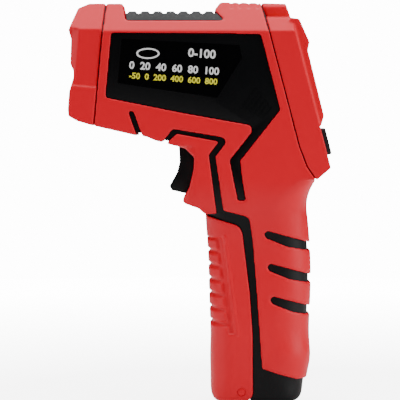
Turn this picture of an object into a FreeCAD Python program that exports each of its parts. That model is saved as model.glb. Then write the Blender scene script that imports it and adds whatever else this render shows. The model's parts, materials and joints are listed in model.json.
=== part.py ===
"""Pistol-shaped infrared thermometer: core shells with moulded-on covers, a lens nose, a display housing,
a trigger, a row of keys and a hinged battery door.

Axes: +Z up, -X the way the lens looks, +X the display, -Y the left side.
The origin is the middle of the flat foot of the grip. Lengths are millimetres and angles degrees.
The driving sizes are cells of the spreadsheet Dims, and an outline's points are offsets from them.
"""
import FreeCAD, Part
import os
import re

import Sketcher
from FreeCAD import Placement, Rotation, Vector

DOC = FreeCAD.newDocument("InfraredThermometer")
SHEET = DOC.addObject("Spreadsheet::Sheet", "Dims")
SUBPARTS = []

DRIVING_SIZES = {
    # overall
    "grip_height": 94.9,        # foot to the web under the display housing
    "head_width": 46.0,         # across the flat sides of the head
    "grip_width": 36.6,         # across the grip below the trigger
    "nose_reach": 80.4,         # grip axis to the foremost point of the nose
    "rear_reach": 30.1,         # grip axis to the lower edge of the display face
    "grip_front": 20.4,         # grip axis to the front of the battery door
    "grip_back": 22.5,          # grip axis to the back of the grip
    "shoulder_rise": 62.4,      # web to the upper edge of the flat sides, where the top bevel starts
    "deck_rise": 66.9,          # web to the flat deck under the rubber strip
    "cheek_rise": 14.0,         # web to the underside of the head over the trigger
    "nose_rise": 46.1,          # web to the middle of the nose
    "nose_tilt": 5.2,           # upward lean of the optical axis
    "nose_depth": 12.8,         # length of the nose ring to its seam
    "rear_rise": 4.9,           # web to the lower edge of the display face
    "rear_tilt": 14.65,         # lean of the display face
    "rear_depth": 10.3,         # depth of the display housing to its seam
    # walls and clearances
    "cover_wall": 1.2,          # moulded-on cover
    "cover_gap": 0.06,          # between a cover and the core
    "panel_sink": 0.5,          # side panel below the cover's face
    "door_wall": 2.0,           # battery door
    "shell_wall": 3.2,          # outer surface to the inside of the core
    "seam_gap": 0.35,           # open line between casings
    "fit_gap": 0.15,            # round a piece that sits in a seat
    "slide_gap": 0.3,           # round a piece that moves
    "pin_gap": 0.1,             # round a hinge pin
    # trigger
    "trigger_width": 13.6,
    "trigger_pin_radius": 1.5,
    "trigger_back": 22.4,       # grip axis to the flat back of the trigger
    "cheek_wall": 1.8,          # walls beside the trigger slot
    "plunger_radius": 1.2,
    "plunger_rise": 5.1,        # web to the plunger's axis
    "switch_depth": 6.6,
    "spring_radius": 2.2,
    "spring_wire": 0.7,
    # battery compartment
    "cell_radius": 5.25,
    "cell_length": 44.5,
    "cell_pitch": 11.4,
    "cell_bottom": 16.5,
    "cell_axis": 9.6,           # grip axis to the plane of the cells' axes
    "tray_wall": 1.2,
    "hinge_radius": 4.8,        # rounded heel of the door, round its pin
    "hinge_set": 7.3,           # grip axis to the door's pin
    "door_pin_radius": 1.5,
    "lug_radius": 2.4,
    # optics
    "barrel_radius": 11.0,
    "barrel_bore": 9.2,
    "lens_drop": 4.0,           # lens axis below the middle of the nose
    "laser_radius": 3.2,
    "laser_rise": 13.5,         # laser axis above the middle of the nose
    "plate_set": 5.0,           # front rim to the face plate
    "plate_wall": 2.4,
    # display side
    "board_wall": 1.6,
    "board_set": 10.0,          # display face to the front of the main board
    "glass_wall": 2.0,
    "key_pitch": 10.0,
    "key_width": 8.2,
    "key_proud": 2.3,
    "screw_radius": 1.25,
    "boss_radius": 3.2,
}


def fill_sheet():
    """Writes each driving size into the spreadsheet, as plain text with an alias."""
    for row, (alias, size) in enumerate(DRIVING_SIZES.items(), start=1):
        SHEET.set("A%d" % row, alias)
        SHEET.set("B%d" % row, str(size))
        SHEET.setAlias("B%d" % row, alias)
    DOC.recompute()


def bind(expression):
    """An expression with each size's name in the form that the document reads."""
    return re.sub(r"[a-z_]+", lambda word: "Dims." + word[0] if word[0] in DRIVING_SIZES else word[0],
                  str(expression))


def value(expression):
    """The number that an expression of the driving sizes comes to."""
    return float(SHEET.evalExpression(bind(expression)))


# ----------------------------------------------------------------------------------------------
# Frames: local origins, turned about Y
# ----------------------------------------------------------------------------------------------
FRAMES = {
    "foot": ("0", "0", "0"),
    "head": ("0", "grip_height", "0"),
    "nose": ("-nose_reach", "grip_height + nose_rise", "nose_tilt"),
    "rear": ("rear_reach", "grip_height + rear_rise", "-rear_tilt"),
}


def place(item, frame="foot", at=(0, 0, 0), spin="0", axis=Vector(0, 1, 0)):
    """Places an object at a point of a frame, its own turn added to the frame's."""
    x, y, z = at
    origin_x, origin_z, tilt = FRAMES[frame]
    item.Placement = Placement(Vector(), Rotation(axis, 1))
    item.setExpression(".Placement.Base.x", bind(f"{origin_x} + ({x}) * cos({tilt}) + ({z}) * sin({tilt})"))
    item.setExpression(".Placement.Base.y", bind(y))
    item.setExpression(".Placement.Base.z", bind(f"{origin_z} - ({x}) * sin({tilt}) + ({z}) * cos({tilt})"))
    turn = f"({tilt}) + ({spin})" if axis.y else spin
    item.setExpression(".Placement.Rotation.Angle", bind(turn))
    return item


def spot(frame, x, z):
    """Document X and Z of a point of a frame, as expressions."""
    origin_x, origin_z, tilt = FRAMES[frame]
    return (f"{origin_x} + ({x}) * cos({tilt}) + ({z}) * sin({tilt})",
            f"{origin_z} - ({x}) * sin({tilt}) + ({z}) * cos({tilt})")


def points(across, up, offsets):
    """An outline: offsets from an anchor that the driving sizes give."""
    return [(f"{across} + ({x})", f"{up} + ({z})") for x, z in offsets]


# ----------------------------------------------------------------------------------------------
# Building blocks
# ----------------------------------------------------------------------------------------------
def set_sizes(item, **sizes):
    """Binds properties of an object to expressions."""
    for name, expression in sizes.items():
        item.setExpression(name, bind(expression))
    return item


def new_sketch(body, role, outline, lift=None):
    """A closed polygon on one of the body's origin planes, each corner held by two bound distances."""
    sketch = body.newObject("Sketcher::SketchObject", body.Name + "_sketch")
    plane = [feature for feature in body.Origin.OriginFeatures if feature.Role == role][0]
    sketch.AttachmentSupport = [(plane, "")]
    sketch.MapMode = "FlatFace"
    if lift is not None:
        sketch.setExpression(".AttachmentOffset.Base.z", bind(lift))
    corners = [Vector(value(x), value(y), 0) for x, y in outline]
    count = len(corners)
    for index in range(count):
        sketch.addGeometry(Part.LineSegment(corners[index], corners[(index + 1) % count]), False)
    for index in range(count):
        sketch.addConstraint(Sketcher.Constraint("Coincident", index, 2, (index + 1) % count, 1))
    for index, (x, y) in enumerate(outline):
        for kind, expression, size in (("DistanceX", x, corners[index].x), ("DistanceY", y, corners[index].y)):
            held = sketch.addConstraint(Sketcher.Constraint(kind, -1, 1, index, 1, size))
            sketch.setExpression("Constraints[%d]" % held, bind(expression))
    return sketch


def new_body(name, frame="foot"):
    """An empty PartDesign body in a frame."""
    return place(DOC.addObject("PartDesign::Body", name), frame)


def prism(name, outline, width, frame="foot"):
    """A side outline (X, Z) as thick as width, half of it each side of the middle plane."""
    body = new_body(name, frame)
    pad = body.newObject("PartDesign::Pad", name + "_pad")
    pad.Profile = new_sketch(body, "XZ_Plane", outline)
    pad.Midplane = True
    set_sizes(pad, Length=width)
    return body


def slab(name, low, high, corner=None, frame="foot"):
    """A plate from corner low to corner high, its edges along X rounded by corner."""
    body = new_body(name, frame)
    outline = [(low[1], low[2]), (high[1], low[2]), (high[1], high[2]), (low[1], high[2])]
    pad = body.newObject("PartDesign::Pad", name + "_pad")
    pad.Profile = new_sketch(body, "YZ_Plane", outline, lift=low[0])
    set_sizes(pad, Length=f"({high[0]}) - ({low[0]})")
    if corner is not None:
        DOC.recompute()
        round_edges(body, pad, corner, Vector(1, 0, 0))
    return body


def round_edges(body, feature, radius, direction):
    """Fillets the straight edges of a feature that run along a direction of its body."""
    names = []
    for number, edge in enumerate(feature.Shape.Edges, start=1):
        if len(edge.Vertexes) == 2 and edge.Curve.TypeId == "Part::GeomLine":
            along = edge.Vertexes[1].Point.sub(edge.Vertexes[0].Point).normalize()
            if abs(along.dot(direction)) > 0.999:
                names.append("Edge%d" % number)
    fillet = body.newObject("PartDesign::Fillet", feature.Name + "_fillet")
    fillet.Base = (feature, names)
    set_sizes(fillet, Radius=radius)
    return fillet


def turned(name, outline, frame, drop):
    """A profile (along the axis, radius) turned about an axis parallel to the frame's X, drop below it."""
    body = new_body(name, frame)
    place(body, frame, (0, 0, f"-({drop})"))
    spin = body.newObject("PartDesign::Revolution", name + "_turn")
    spin.Profile = new_sketch(body, "XZ_Plane", outline)
    spin.ReferenceAxis = (spin.Profile[0], ["H_Axis"])
    spin.Angle = 360
    return body


def rod(name, radius, length, at, along="x", frame="foot"):
    """A round bar that starts at a point and runs along X, Y or Z of a frame."""
    item = DOC.addObject("Part::Cylinder", name)
    set_sizes(item, Radius=radius, Height=length)
    if along == "y":
        return place(item, frame, at, spin="-90", axis=Vector(1, 0, 0))
    return place(item, frame, at, spin="90" if along == "x" else "0")


def cross_rod(name, radius, half, at, frame="foot"):
    """A round bar across the object, as long on each side of the middle plane."""
    return rod(name, radius, f"2 * ({half})", (at[0], f"-({half})", at[1]), "y", frame)


def block(name, low, high, frame="foot"):
    """A square block from corner low to corner high."""
    item = DOC.addObject("Part::Box", name)
    spans = [f"({top}) - ({bottom})" for bottom, top in zip(low, high)]
    set_sizes(item, Length=spans[0], Width=spans[1], Height=spans[2])
    return place(item, frame, low)


def cut(name, base, *tools):
    """The base less each tool."""
    for number, tool in enumerate(tools, start=1):
        label = name if number == len(tools) else "%s_step%d" % (name, number)
        item = DOC.addObject("Part::Cut", label)
        item.Base = base
        item.Tool = tool
        base = item
    return base


def common(name, *shapes):
    """What all the shapes share."""
    item = DOC.addObject("Part::MultiCommon", name)
    item.Shapes = list(shapes)
    return item


def fuse(name, *shapes):
    """The shapes joined."""
    item = DOC.addObject("Part::MultiFuse", name)
    item.Shapes = list(shapes)
    item.Refine = True
    return item


def group(name, *shapes):
    """Separate solids under one name."""
    item = DOC.addObject("Part::Compound", name)
    item.Links = list(shapes)
    return item


def subpart(item, label):
    """Names a finished sub-part."""
    item.Label = label
    SUBPARTS.append(item)
    return item


# ----------------------------------------------------------------------------------------------
# The moulded form, as a solid at any depth below the outer surface
# ----------------------------------------------------------------------------------------------
HEAD_SIDE = (
    points("-nose_reach", "grip_height", [
        (8.6, 74.4), (3.9, 72.3), (0.2, 62.8), (1.3, 59.2), (1.0, 48.6), (2.4, 45.6), (2.4, 43.0),
        (0.6, 36.9), (0.0, 29.4), (0.3, 26.7), (3.9, 24.6), (10.4, 22.7)])
    + points("0", "grip_height", [
        (-51.7, 18.5), (-47.3, 18.0), (-44.0, 16.5), (-34.3, 13.9), (-31.0, 13.0), (-27.3, 9.3),
        (-27.6, 4.1), (-29.3, -3.3), (-32.3, -9.0), (-31.2, -10.2), (-25.5, -12.2), (-22.6, -14.8)])
    + points("-grip_front - 4", "0", [(0, 70.0), (0, -2.0)])
    + points("grip_back + 1.3", "0", [(0, -2.0), (0, 60.0)])
    + points("rear_reach", "grip_height", [(-6.3, -0.5), (0, 4.9)])
    + [spot("rear", "0", "65.7")]
    + points("0", "grip_height", [(11.4, 74.3), (1.6, 74.6), (-16.3, 75.0), (-18.9, 71.5), (-14.6, 66.9)])
    + points("0", "grip_height", [(-56.1, 66.9), (-57.6, 74.4)])
)

# height, half width, front, back, front corner (along, across), back corner (along, across)
GRIP_SECTIONS = [
    ("0", "grip_width / 2 - 3.5", "grip_front - 3.2", "grip_back - 6.0", (7.0, 9.0), (9.0, 9.0)),
    ("1.5", "grip_width / 2 - 2.1", "grip_front - 1.2", "grip_back - 3.6", (8.5, 11.0), (11.0, 11.0)),
    ("4.5", "grip_width / 2 - 1.2", "grip_front - 0.2", "grip_back - 2.4", (9.0, 12.5), (14.0, 13.0)),
    ("11", "grip_width / 2 - 0.7", "grip_front", "grip_back - 1.5", (9.5, 13.0), (16.0, 14.0)),
    ("25", "grip_width / 2 - 0.1", "grip_front", "grip_back - 0.4", (9.5, 13.0), (16.0, 14.0)),
    ("grip_height / 2", "grip_width / 2 + 0.1", "grip_front + 0.6", "grip_back", (9.5, 13.0), (16.0, 14.0)),
    ("grip_height - 33", "grip_width / 2 + 0.3", "grip_front + 1.0", "grip_back - 0.1", (9.5, 13.0), (16.0, 14.0)),
    ("grip_height - 25", "grip_width / 2 + 0.9", "grip_front + 1.5", "grip_back - 0.6", (9.5, 13.0), (16.0, 14.0)),
    ("grip_height - 15", "head_width / 2 - 2.2", "grip_front + 2.1", "grip_back - 1.6", (9.0, 12.0), (16.0, 14.0)),
]
NECK_SECTIONS = [
    ("grip_height - 15", "head_width / 2 - 2.2", "grip_front + 14", "grip_back - 1.6", (8.0, 9.0), (16.0, 14.0)),
    ("grip_height - 9.9", "head_width / 2 - 0.9", "grip_front + 14", "grip_back - 1.9", (8.0, 9.0), (15.0, 13.0)),
    ("grip_height - 4.9", "head_width / 2 - 0.2", "grip_front + 14", "grip_back - 0.8", (8.0, 9.0), (11.0, 11.0)),
    ("grip_height", "head_width / 2", "grip_front + 14", "grip_back + 1.7", (8.0, 9.0), (7.0, 7.0)),
]


def quarter(start, corner, end):
    """A quarter of an ellipse from start to end, its tangents meeting at corner."""
    curve = Part.BSplineCurve()
    curve.buildFromPolesMultsKnots([start, corner, end], [3, 3], [0, 1], False, 2, [1, 0.5 ** 0.5, 1])
    return curve.toShape()


def section_wire(section, inset, lift=0.0):
    """One level outline of the grip: straight sides joined by elliptical corners."""
    height, half, front, back, front_corner, back_corner = section
    level = value(height) + lift
    side = value(half) - inset
    ends = [(-value(front) + inset, 1, front_corner), (value(back) - inset, -1, back_corner)]
    rounds = []
    for x, inward, (along, across) in ends:
        along = max(along - inset, 0.8)
        across = max(across - inset, 0.8)
        for wall in (-1, 1):
            on_end = Vector(x, wall * (side - across), level)
            on_side = Vector(x + inward * along, wall * side, level)
            rounds.append((on_side, Vector(x, wall * side, level), on_end))
    (front_left, front_right, back_left, back_right) = rounds
    edges = [quarter(*front_left), Part.makeLine(front_left[2], front_right[2]),
             quarter(*reversed(front_right)), Part.makeLine(front_right[0], back_right[0]),
             quarter(*back_right), Part.makeLine(back_right[2], back_left[2]),
             quarter(*reversed(back_left)), Part.makeLine(back_left[0], front_left[0])]
    return Part.Wire(edges)


def side_solid(inset):
    """The side outline, drawn in by inset, as a block wider than the head."""
    wire = Part.makePolygon([Vector(value(x), 0, value(z)) for x, z in HEAD_SIDE + HEAD_SIDE[:1]])
    face = Part.Face(wire)
    if inset:
        face = face.makeOffset2D(-inset, join=2)
    width = value("head_width") + 10
    face.translate(Vector(0, -width / 2, 0))
    return face.extrude(Vector(0, width, 0))


def bevel_solid(inset):
    """A roof of 45 degrees over the shoulders, drawn in by inset."""
    shoulder = value("grip_height + shoulder_rise + head_width / 2") - inset * 2 ** 0.5
    reach = value("head_width")
    length = value("nose_reach + rear_reach") + 20
    roof = Part.makePolygon([Vector(0, -reach, -10), Vector(0, reach, -10), Vector(0, reach, shoulder - reach),
                             Vector(0, 0, shoulder), Vector(0, -reach, shoulder - reach), Vector(0, -reach, -10)])
    solid = Part.Face(roof).extrude(Vector(length, 0, 0))
    solid.translate(Vector(-value("nose_reach") - 10, 0, 0))
    return solid


def moulded_form(name, inset, floor=0.0):
    """The whole outer form drawn in by inset, cut off below floor."""
    grip = Part.makeLoft([section_wire(section, inset) for section in GRIP_SECTIONS[:-1]]
                         + [section_wire(GRIP_SECTIONS[-1], inset, inset)], True)
    neck = Part.makeLoft([section_wire(section, inset, inset) for section in NECK_SECTIONS], True)
    web = value("grip_height") + inset
    cheek = value("grip_height + cheek_rise") + inset
    half = value("head_width") / 2 - inset
    collar = section_wire(("grip_height", "head_width / 2", "grip_front + 14", "grip_back", (8.0, 9.0), (1.0, 1.0)),
                          inset, inset)
    throat = Part.Face(collar).extrude(Vector(0, 0, cheek - web))
    rear = Part.makeBox(80, 2 * half, cheek - web, Vector(0, -half, web))
    head = Part.makeBox(200, 2 * half, 120, Vector(-120, -half, cheek))
    form = grip.fuse([neck, throat, rear, head]).common(side_solid(inset)).common(bevel_solid(inset))
    if floor:
        form = form.common(Part.makeBox(400, 100, 400, Vector(-200, -50, floor)))
    item = DOC.addObject("Part::Feature", name)
    item.Shape = max(form.Solids, key=lambda solid: solid.Volume)
    return item


# ----------------------------------------------------------------------------------------------
# Regions: where one casing ends and the next begins, as prisms across the object
# ----------------------------------------------------------------------------------------------
THROUGH = "head_width + 8"


def nose_region(name, gap):
    """All ahead of the nose seam, plus a gap."""
    depth = f"nose_depth + {gap}"
    return prism(name, [("-20", "-50"), (depth, "-50"), (depth, "50"), ("-20", "50")], THROUGH, "nose")


def rear_region(name, gap):
    """All behind the seam of the display housing, plus a gap."""
    seam = [(0, 85), (0, 12), (1.0, 3.2), (3.2, -3.1), (5.0, -9)]
    outline = [(f"-rear_depth - {gap} + {x}", z) for x, z in seam] + [("25", "-9"), ("25", "85")]
    return prism(name, outline, THROUGH, "rear")


def door_region(name, gap):
    """The battery door seen from the side, grown by a gap: a slanted top, a long back edge, a round heel."""
    heel = f"-hinge_set + hinge_radius + {gap}"
    outline = [("-grip_front - 8", f"grip_height - 15.0 + {gap}"), ("-grip_front - 2.1", f"grip_height - 15.3 + {gap}"),
               ("-9.9 + 0.3", f"grip_height - 19.3 + {gap}"), (f"-8.0 + {gap}", f"grip_height - 20.6 + {gap}"),
               (f"-7.0 + {gap}", f"grip_height - 23.0 + {gap}"), (f"-6.4 + {gap}", "grip_height - 28"),
               (f"-3.9 + {gap}", "47"), (f"{heel} - 0.2", "30"), (heel, "hinge_radius"),
               ("-hinge_set", "hinge_radius"), ("-hinge_set", "-3"), ("-grip_front - 8", "-3")]
    heel_round = cross_rod(name + "_heel", f"hinge_radius + {gap}", "head_width / 2 + 4",
                           ("-hinge_set", "hinge_radius"))
    return fuse(name, prism(name + "_side", outline, THROUGH), heel_round)


def groove_regions():
    """The lines along which the dark core shows between the covers."""
    band = ([("-30", "grip_height - 14.9"), ("-18.1", "grip_height - 14.3"), ("-15.1", "grip_height - 13.1"),
             ("-5.5", "grip_height - 15.6"), ("-4.2", "grip_height - 16.6"), ("-2.7", "grip_height - 26.5"),
             ("-1.0", "47"), ("1.3", "14.6"), ("10.2", "11.6"), ("16.6", "9.6")]
            + [("grip_back + 8", "9.6"), ("grip_back + 8", "-4"), ("-grip_front - 10", "-4"),
               ("-grip_front - 10", "grip_height - 14.9")])
    line = points("0", "grip_height", [
        (-42.5, 9.0), (-40.5, 16.0), (-36.3, 21.2), (-15.8, 17.8), (-14.3, 16.6), (-14.4, 15.1), (-18.5, 9.6),
        (-15.1, -13.6), (-17.9, -14.6), (-21.2, 10.4), (-17.3, 15.5), (-17.7, 16.2), (-34.6, 19.3),
        (-38.5, 15.8), (-39.8, 9.0)])
    slash = points("0", "grip_height", [(-55.0, 28.7), (-52.9, 28.7), (-47.6, 14.0), (-49.8, 14.0)])
    regions = [prism("band", band, THROUGH), prism("line", line, THROUGH), prism("slash", slash, THROUGH)]
    for index in range(3):
        across = f"{1.3 * index}"
        up = f"grip_height - {21.7 + 13.9 * index}"
        stripe = points(across, up, [(3.4, 0), (2.3, -1.3), (3.0, -3.0), (11.9, -6.6), (21.2, -8.4), (32.0, -9.6),
                                     (32.0, -8.3), (21.2, -5.2)])
        regions.append(prism("stripe_%d" % (index + 1), stripe, THROUGH))
    return regions


PANEL_SIDE = points("0", "grip_height", [
    (-62.0, 61.6), (0.5, 61.0), (8.7, 29.3), (-8.1, 8.0), (-7.2, -0.7), (-5.7, -8.9), (-8.9, -8.9), (-12.4, 8.1),
    (-3.0, 20.0), (-3.3, 22.4), (-5.0, 23.2), (-33.5, 28.3), (-64.5, 34.5)])
CHEEK_SIDE = points("0", "grip_height", [
    (-45.0, 8.0), (-41.1, 8.0), (-39.5, 15.9), (-35.5, 20.3), (-16.6, 17.1), (-15.9, 15.6), (-19.8, 10.0),
    (-16.4, -17.0), (-45.0, -17.0)])


def build_forms():
    """The moulded form at each depth that the shells are cut to."""
    return {
        "outside": moulded_form("outer_form", 0.0),
        "panel": moulded_form("panel_form", value("panel_sink")),
        "cover_inside": moulded_form("cover_form", value("cover_wall")),
        "core": moulded_form("core_form", value("cover_wall + cover_gap")),
        "door_inside": moulded_form("door_form", value("door_wall"), value("door_wall")),
        "door_seat": moulded_form("seat_form", value("door_wall + slide_gap"), value("door_wall + slide_gap")),
        "cavity": moulded_form("cavity_form", value("shell_wall"), value("shell_wall")),
    }


def half_space(name, side):
    """Everything on one side of the middle plane: -1 left, 1 right."""
    low = "-60" if side < 0 else "0"
    return block(name, ("-200", low, "-50"), ("200", f"{low} + 60", "400"))


def build_covers(forms, halves):
    """The red covers: one skin over each core half, and one beside each side of the trigger."""
    skin = cut("cover_skin", forms["outside"], forms["cover_inside"])
    slot = prism("slot_in_cover", SLOT_SIDE, "trigger_width + 1")
    openings = ([nose_region("nose_cut", "seam_gap"), rear_region("rear_cut", "seam_gap"), slot,
                 prism("panel_window", PANEL_SIDE, THROUGH)] + groove_regions())
    blank = cut("cover_blank", skin, *openings)
    heads = case_screw_holes("cover_screw_holes", "2.7")
    cheek = prism("cheek_area", CHEEK_SIDE, THROUGH)
    for name, half in halves.items():
        side = common(name + "_cover_side", blank, half)
        body_part = cut(name + "_cover_area", side, cheek)
        if name == "right":
            body_part = cut("right_cover_drilled", body_part, heads)
        subpart(body_part, name + "_red_cover")
        subpart(common(name + "_cheek", side, cheek), name + "_trigger_cover")


def build_side_panels(forms, halves):
    """The glossy black plates in the windows of the covers."""
    depth = cut("panel_skin", forms["panel"], forms["cover_inside"])
    plate = common("panel_plates", depth, prism("panel_area", [
        (f"({x}) {dx} fit_gap", f"({z}) {dz} fit_gap") for (x, z), (dx, dz) in zip(PANEL_SIDE, PANEL_INSET)],
        THROUGH))
    for name, half in halves.items():
        subpart(common(name + "_panel", plate, half), name + "_side_panel")


# which way each corner of the panel moves when the plate is drawn in from its window
PANEL_INSET = [("+", "-"), ("-", "-"), ("-", "+"), ("-", "+"), ("-", "+"), ("-", "+"), ("+", "+"), ("+", "+"),
               ("+", "+"), ("+", "+"), ("+", "+"), ("+", "+"), ("+", "+")]
SLOT_SIDE = points("0", "grip_height", [
    (-36.0, 23.6), (-36.0, 9.0), (-48.0, 9.0), (-48.0, -7.7), (-19.5, -7.7), (-19.5, 23.6)])


# ----------------------------------------------------------------------------------------------
# Core shells
# ----------------------------------------------------------------------------------------------
CASE_SCREWS = [("-56.5", "grip_height + 24.4"), ("8.0", "grip_height + 2.1"),
               ("11.5", "grip_height - 32.9"), ("11.5", "18.0")]
TRIGGER_PIVOT = ("-27.5", "grip_height + 18.6")
SCREW_SEAT = "head_width / 2 - 9"
HEEL_FACE = "grip_width / 2 - door_wall - 1.9"


def case_screw_holes(name, radius):
    """Bores from the right side that let the heads of the case screws in."""
    return group(name, *[rod("%s_%d" % (name, index), radius, "40", (x, SCREW_SEAT, z), "y")
                         for index, (x, z) in enumerate(CASE_SCREWS)])


def build_core(forms, halves):
    """Two black shells with screw posts, walls beside the trigger slot, a rib for the optics and door lugs."""
    shell = cut("core_wall", forms["core"], forms["cavity"])
    seat = cut("door_seat", common("door_area", forms["outside"], door_region("door_opening", "seam_gap")),
               forms["door_seat"])
    tidy_shell = cut("core_blank", shell, nose_region("nose_end", "0"), rear_region("rear_end", "0"), seat)

    cheeks = prism("slot_walls_area", points("0", "grip_height", [
        (-37.8, 25.4), (-37.8, 10.0), (-34.5, -9.0), (-19.5, -12.0), (-9.4, -12.0), (-9.4, 25.4)]),
        "trigger_width + 1 + 2 * cheek_wall")
    slot = prism("slot_hollow", points("0", "grip_height", [
        (-36.0, 23.6), (-36.0, 9.0), (-48.0, 9.0), (-48.0, -7.7), (-9.0, -7.7), (-9.0, 23.6)]), "trigger_width + 1")
    walls = cut("slot_walls", common("slot_walls_inside", cheeks, forms["core"]), slot)

    rib_plate = slab("optics_rib_plate", ("nose_depth + 2", "-40", "-40"), ("nose_depth + 4", "40", "45"),
                     frame="nose")
    rib = cut("optics_rib", common("optics_rib_area", rib_plate, forms["core"]),
              rod("rib_barrel_hole", "barrel_radius + 0.05", "20", ("nose_depth - 5", "0", "-lens_drop"), "x", "nose"),
              rod("rib_laser_hole", "laser_radius + 0.05", "20", ("nose_depth - 5", "0", "laser_rise"), "x", "nose"))

    posts = [cross_rod("post_%d" % index, "boss_radius", "head_width / 2", at)
             for index, at in enumerate(CASE_SCREWS)]
    inner_posts = common("posts", fuse("post_bars", *posts), forms["core"])
    lugs = []
    for name, side in (("left", -1), ("right", 1)):
        face = f"{side} * ({HEEL_FACE} - slide_gap)"
        near, far = (face, f"{face} + 2.2") if side < 0 else (f"{face} - 2.2", face)
        root_near, root_far = (f"{face} - 0.8", f"{face} + 2.2") if side < 0 else (f"{face} - 2.2", f"{face} + 0.8")
        eye = rod(name + "_lug_eye", "lug_radius", "2.2", ("-hinge_set", near, "hinge_radius"), "y")
        arm = block(name + "_lug_arm", ("-hinge_set - lug_radius", near, "hinge_radius"),
                    ("-hinge_set + lug_radius", far, "hinge_radius + 8"))
        root = block(name + "_lug_root", ("-hinge_set - lug_radius", root_near, "2 * hinge_radius + seam_gap + 0.4"),
                     ("-hinge_set + lug_radius", root_far, "hinge_radius + 8"))
        lugs += [eye, arm, root]

    heel = cross_rod("heel_room", "hinge_radius + seam_gap", "grip_width", ("-hinge_set", "hinge_radius"))
    toe = block("toe_room", ("-grip_front - 8", "-grip_width", "-2"), ("-3.4", "grip_width", "1.3"))
    window = block("battery_opening", ("-grip_front - 5", "-11.8", "hinge_radius + seam_gap + 0.3"),
                   ("-10", "11.8", "cell_bottom + cell_length + 4.5"))
    stripped = cut("core_open", tidy_shell, slot, heel, toe, window)
    whole = fuse("core_whole", stripped, walls, rib, inner_posts, *lugs)
    trigger_pin_hole = cross_rod("trigger_pin_hole", "trigger_pin_radius", "trigger_width / 2 + 0.5 + cheek_wall",
                                 TRIGGER_PIVOT)
    door_pin_hole = cross_rod("door_pin_hole", "door_pin_radius", "grip_width", ("-hinge_set", "hinge_radius"))
    drilled = cut("core_drilled", whole, trigger_pin_hole, door_pin_hole)
    shank_holes = group("screw_holes", *[rod("screw_hole_%d" % index, "screw_radius", f"14 + {SCREW_SEAT}",
                                             (x, "-13", z), "y") for index, (x, z) in enumerate(CASE_SCREWS)])
    for name, half in halves.items():
        shell_half = cut(name + "_core_drilled", common(name + "_core_half", drilled, half), shank_holes)
        if name == "right":
            shell_half = cut("right_core_counterbored", shell_half, case_screw_holes("head_holes", "2.7"))
        subpart(shell_half, name + "_core_shell")

    screws = []
    for index, (x, z) in enumerate(CASE_SCREWS):
        shank = rod("case_screw_%d" % index, "screw_radius", f"12.5 + {SCREW_SEAT}", (x, "-12.5", z), "y")
        head = rod("case_screw_head_%d" % index, "2.4", "1.8", (x, SCREW_SEAT, z), "y")
        slot_cut = block("case_screw_slot_%d" % index, (f"{x} - 1.6", f"{SCREW_SEAT} + 1.0", f"({z}) - 0.3"),
                         (f"{x} + 1.6", "head_width / 2", f"({z}) + 0.3"))
        screws.append(cut("case_screw_whole_%d" % index, fuse("case_screw_bar_%d" % index, shank, head), slot_cut))
    subpart(group("case_screw_set", *screws), "case_screws")


# ----------------------------------------------------------------------------------------------
# Nose and optics
# ----------------------------------------------------------------------------------------------
def build_nose(forms):
    """The ring in front of the seam, open through, its lower jaw a little proud of the upper sides."""
    front = common("nose_front", forms["outside"], nose_region("nose_area", "0"))
    bore = slab("nose_bore", ("-20", "-17.5", "-16.5"), ("nose_depth + 10", "17.5", "21.0"), "7", "nose")
    ring = cut("nose_bored", front, bore)
    left = block("left_step", ("-10", "-head_width / 2 - 3", "-6.5"),
                 ("nose_depth + 5", "-head_width / 2 + 0.7", "40"), "nose")
    right = block("right_step", ("-10", "head_width / 2 - 0.7", "-6.5"),
                  ("nose_depth + 5", "head_width / 2 + 3", "40"), "nose")
    chamfers = [prism_flat(name + "_front_bevel", side) for name, side in (("left", -1), ("right", 1))]
    subpart(cut("nose_casing", ring, left, right, *chamfers), "nose_ring")


def prism_flat(name, side):
    """A bevel on the front edge of one side of the nose."""
    body = new_body(name, "nose")
    outline = [("-4", f"{side} * (head_width / 2 + 4)"), ("3.4", f"{side} * (head_width / 2 + 4)"),
               ("3.4", f"{side} * (head_width / 2 - 0.7)"), ("0.2", f"{side} * (head_width / 2 - 3.0)"),
               ("-4", f"{side} * (head_width / 2 - 3.0)")]
    pad = body.newObject("PartDesign::Pad", name + "_pad")
    pad.Profile = new_sketch(body, "XY_Plane", outline, lift="-3")
    set_sizes(pad, Length="20.5")
    return body


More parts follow.
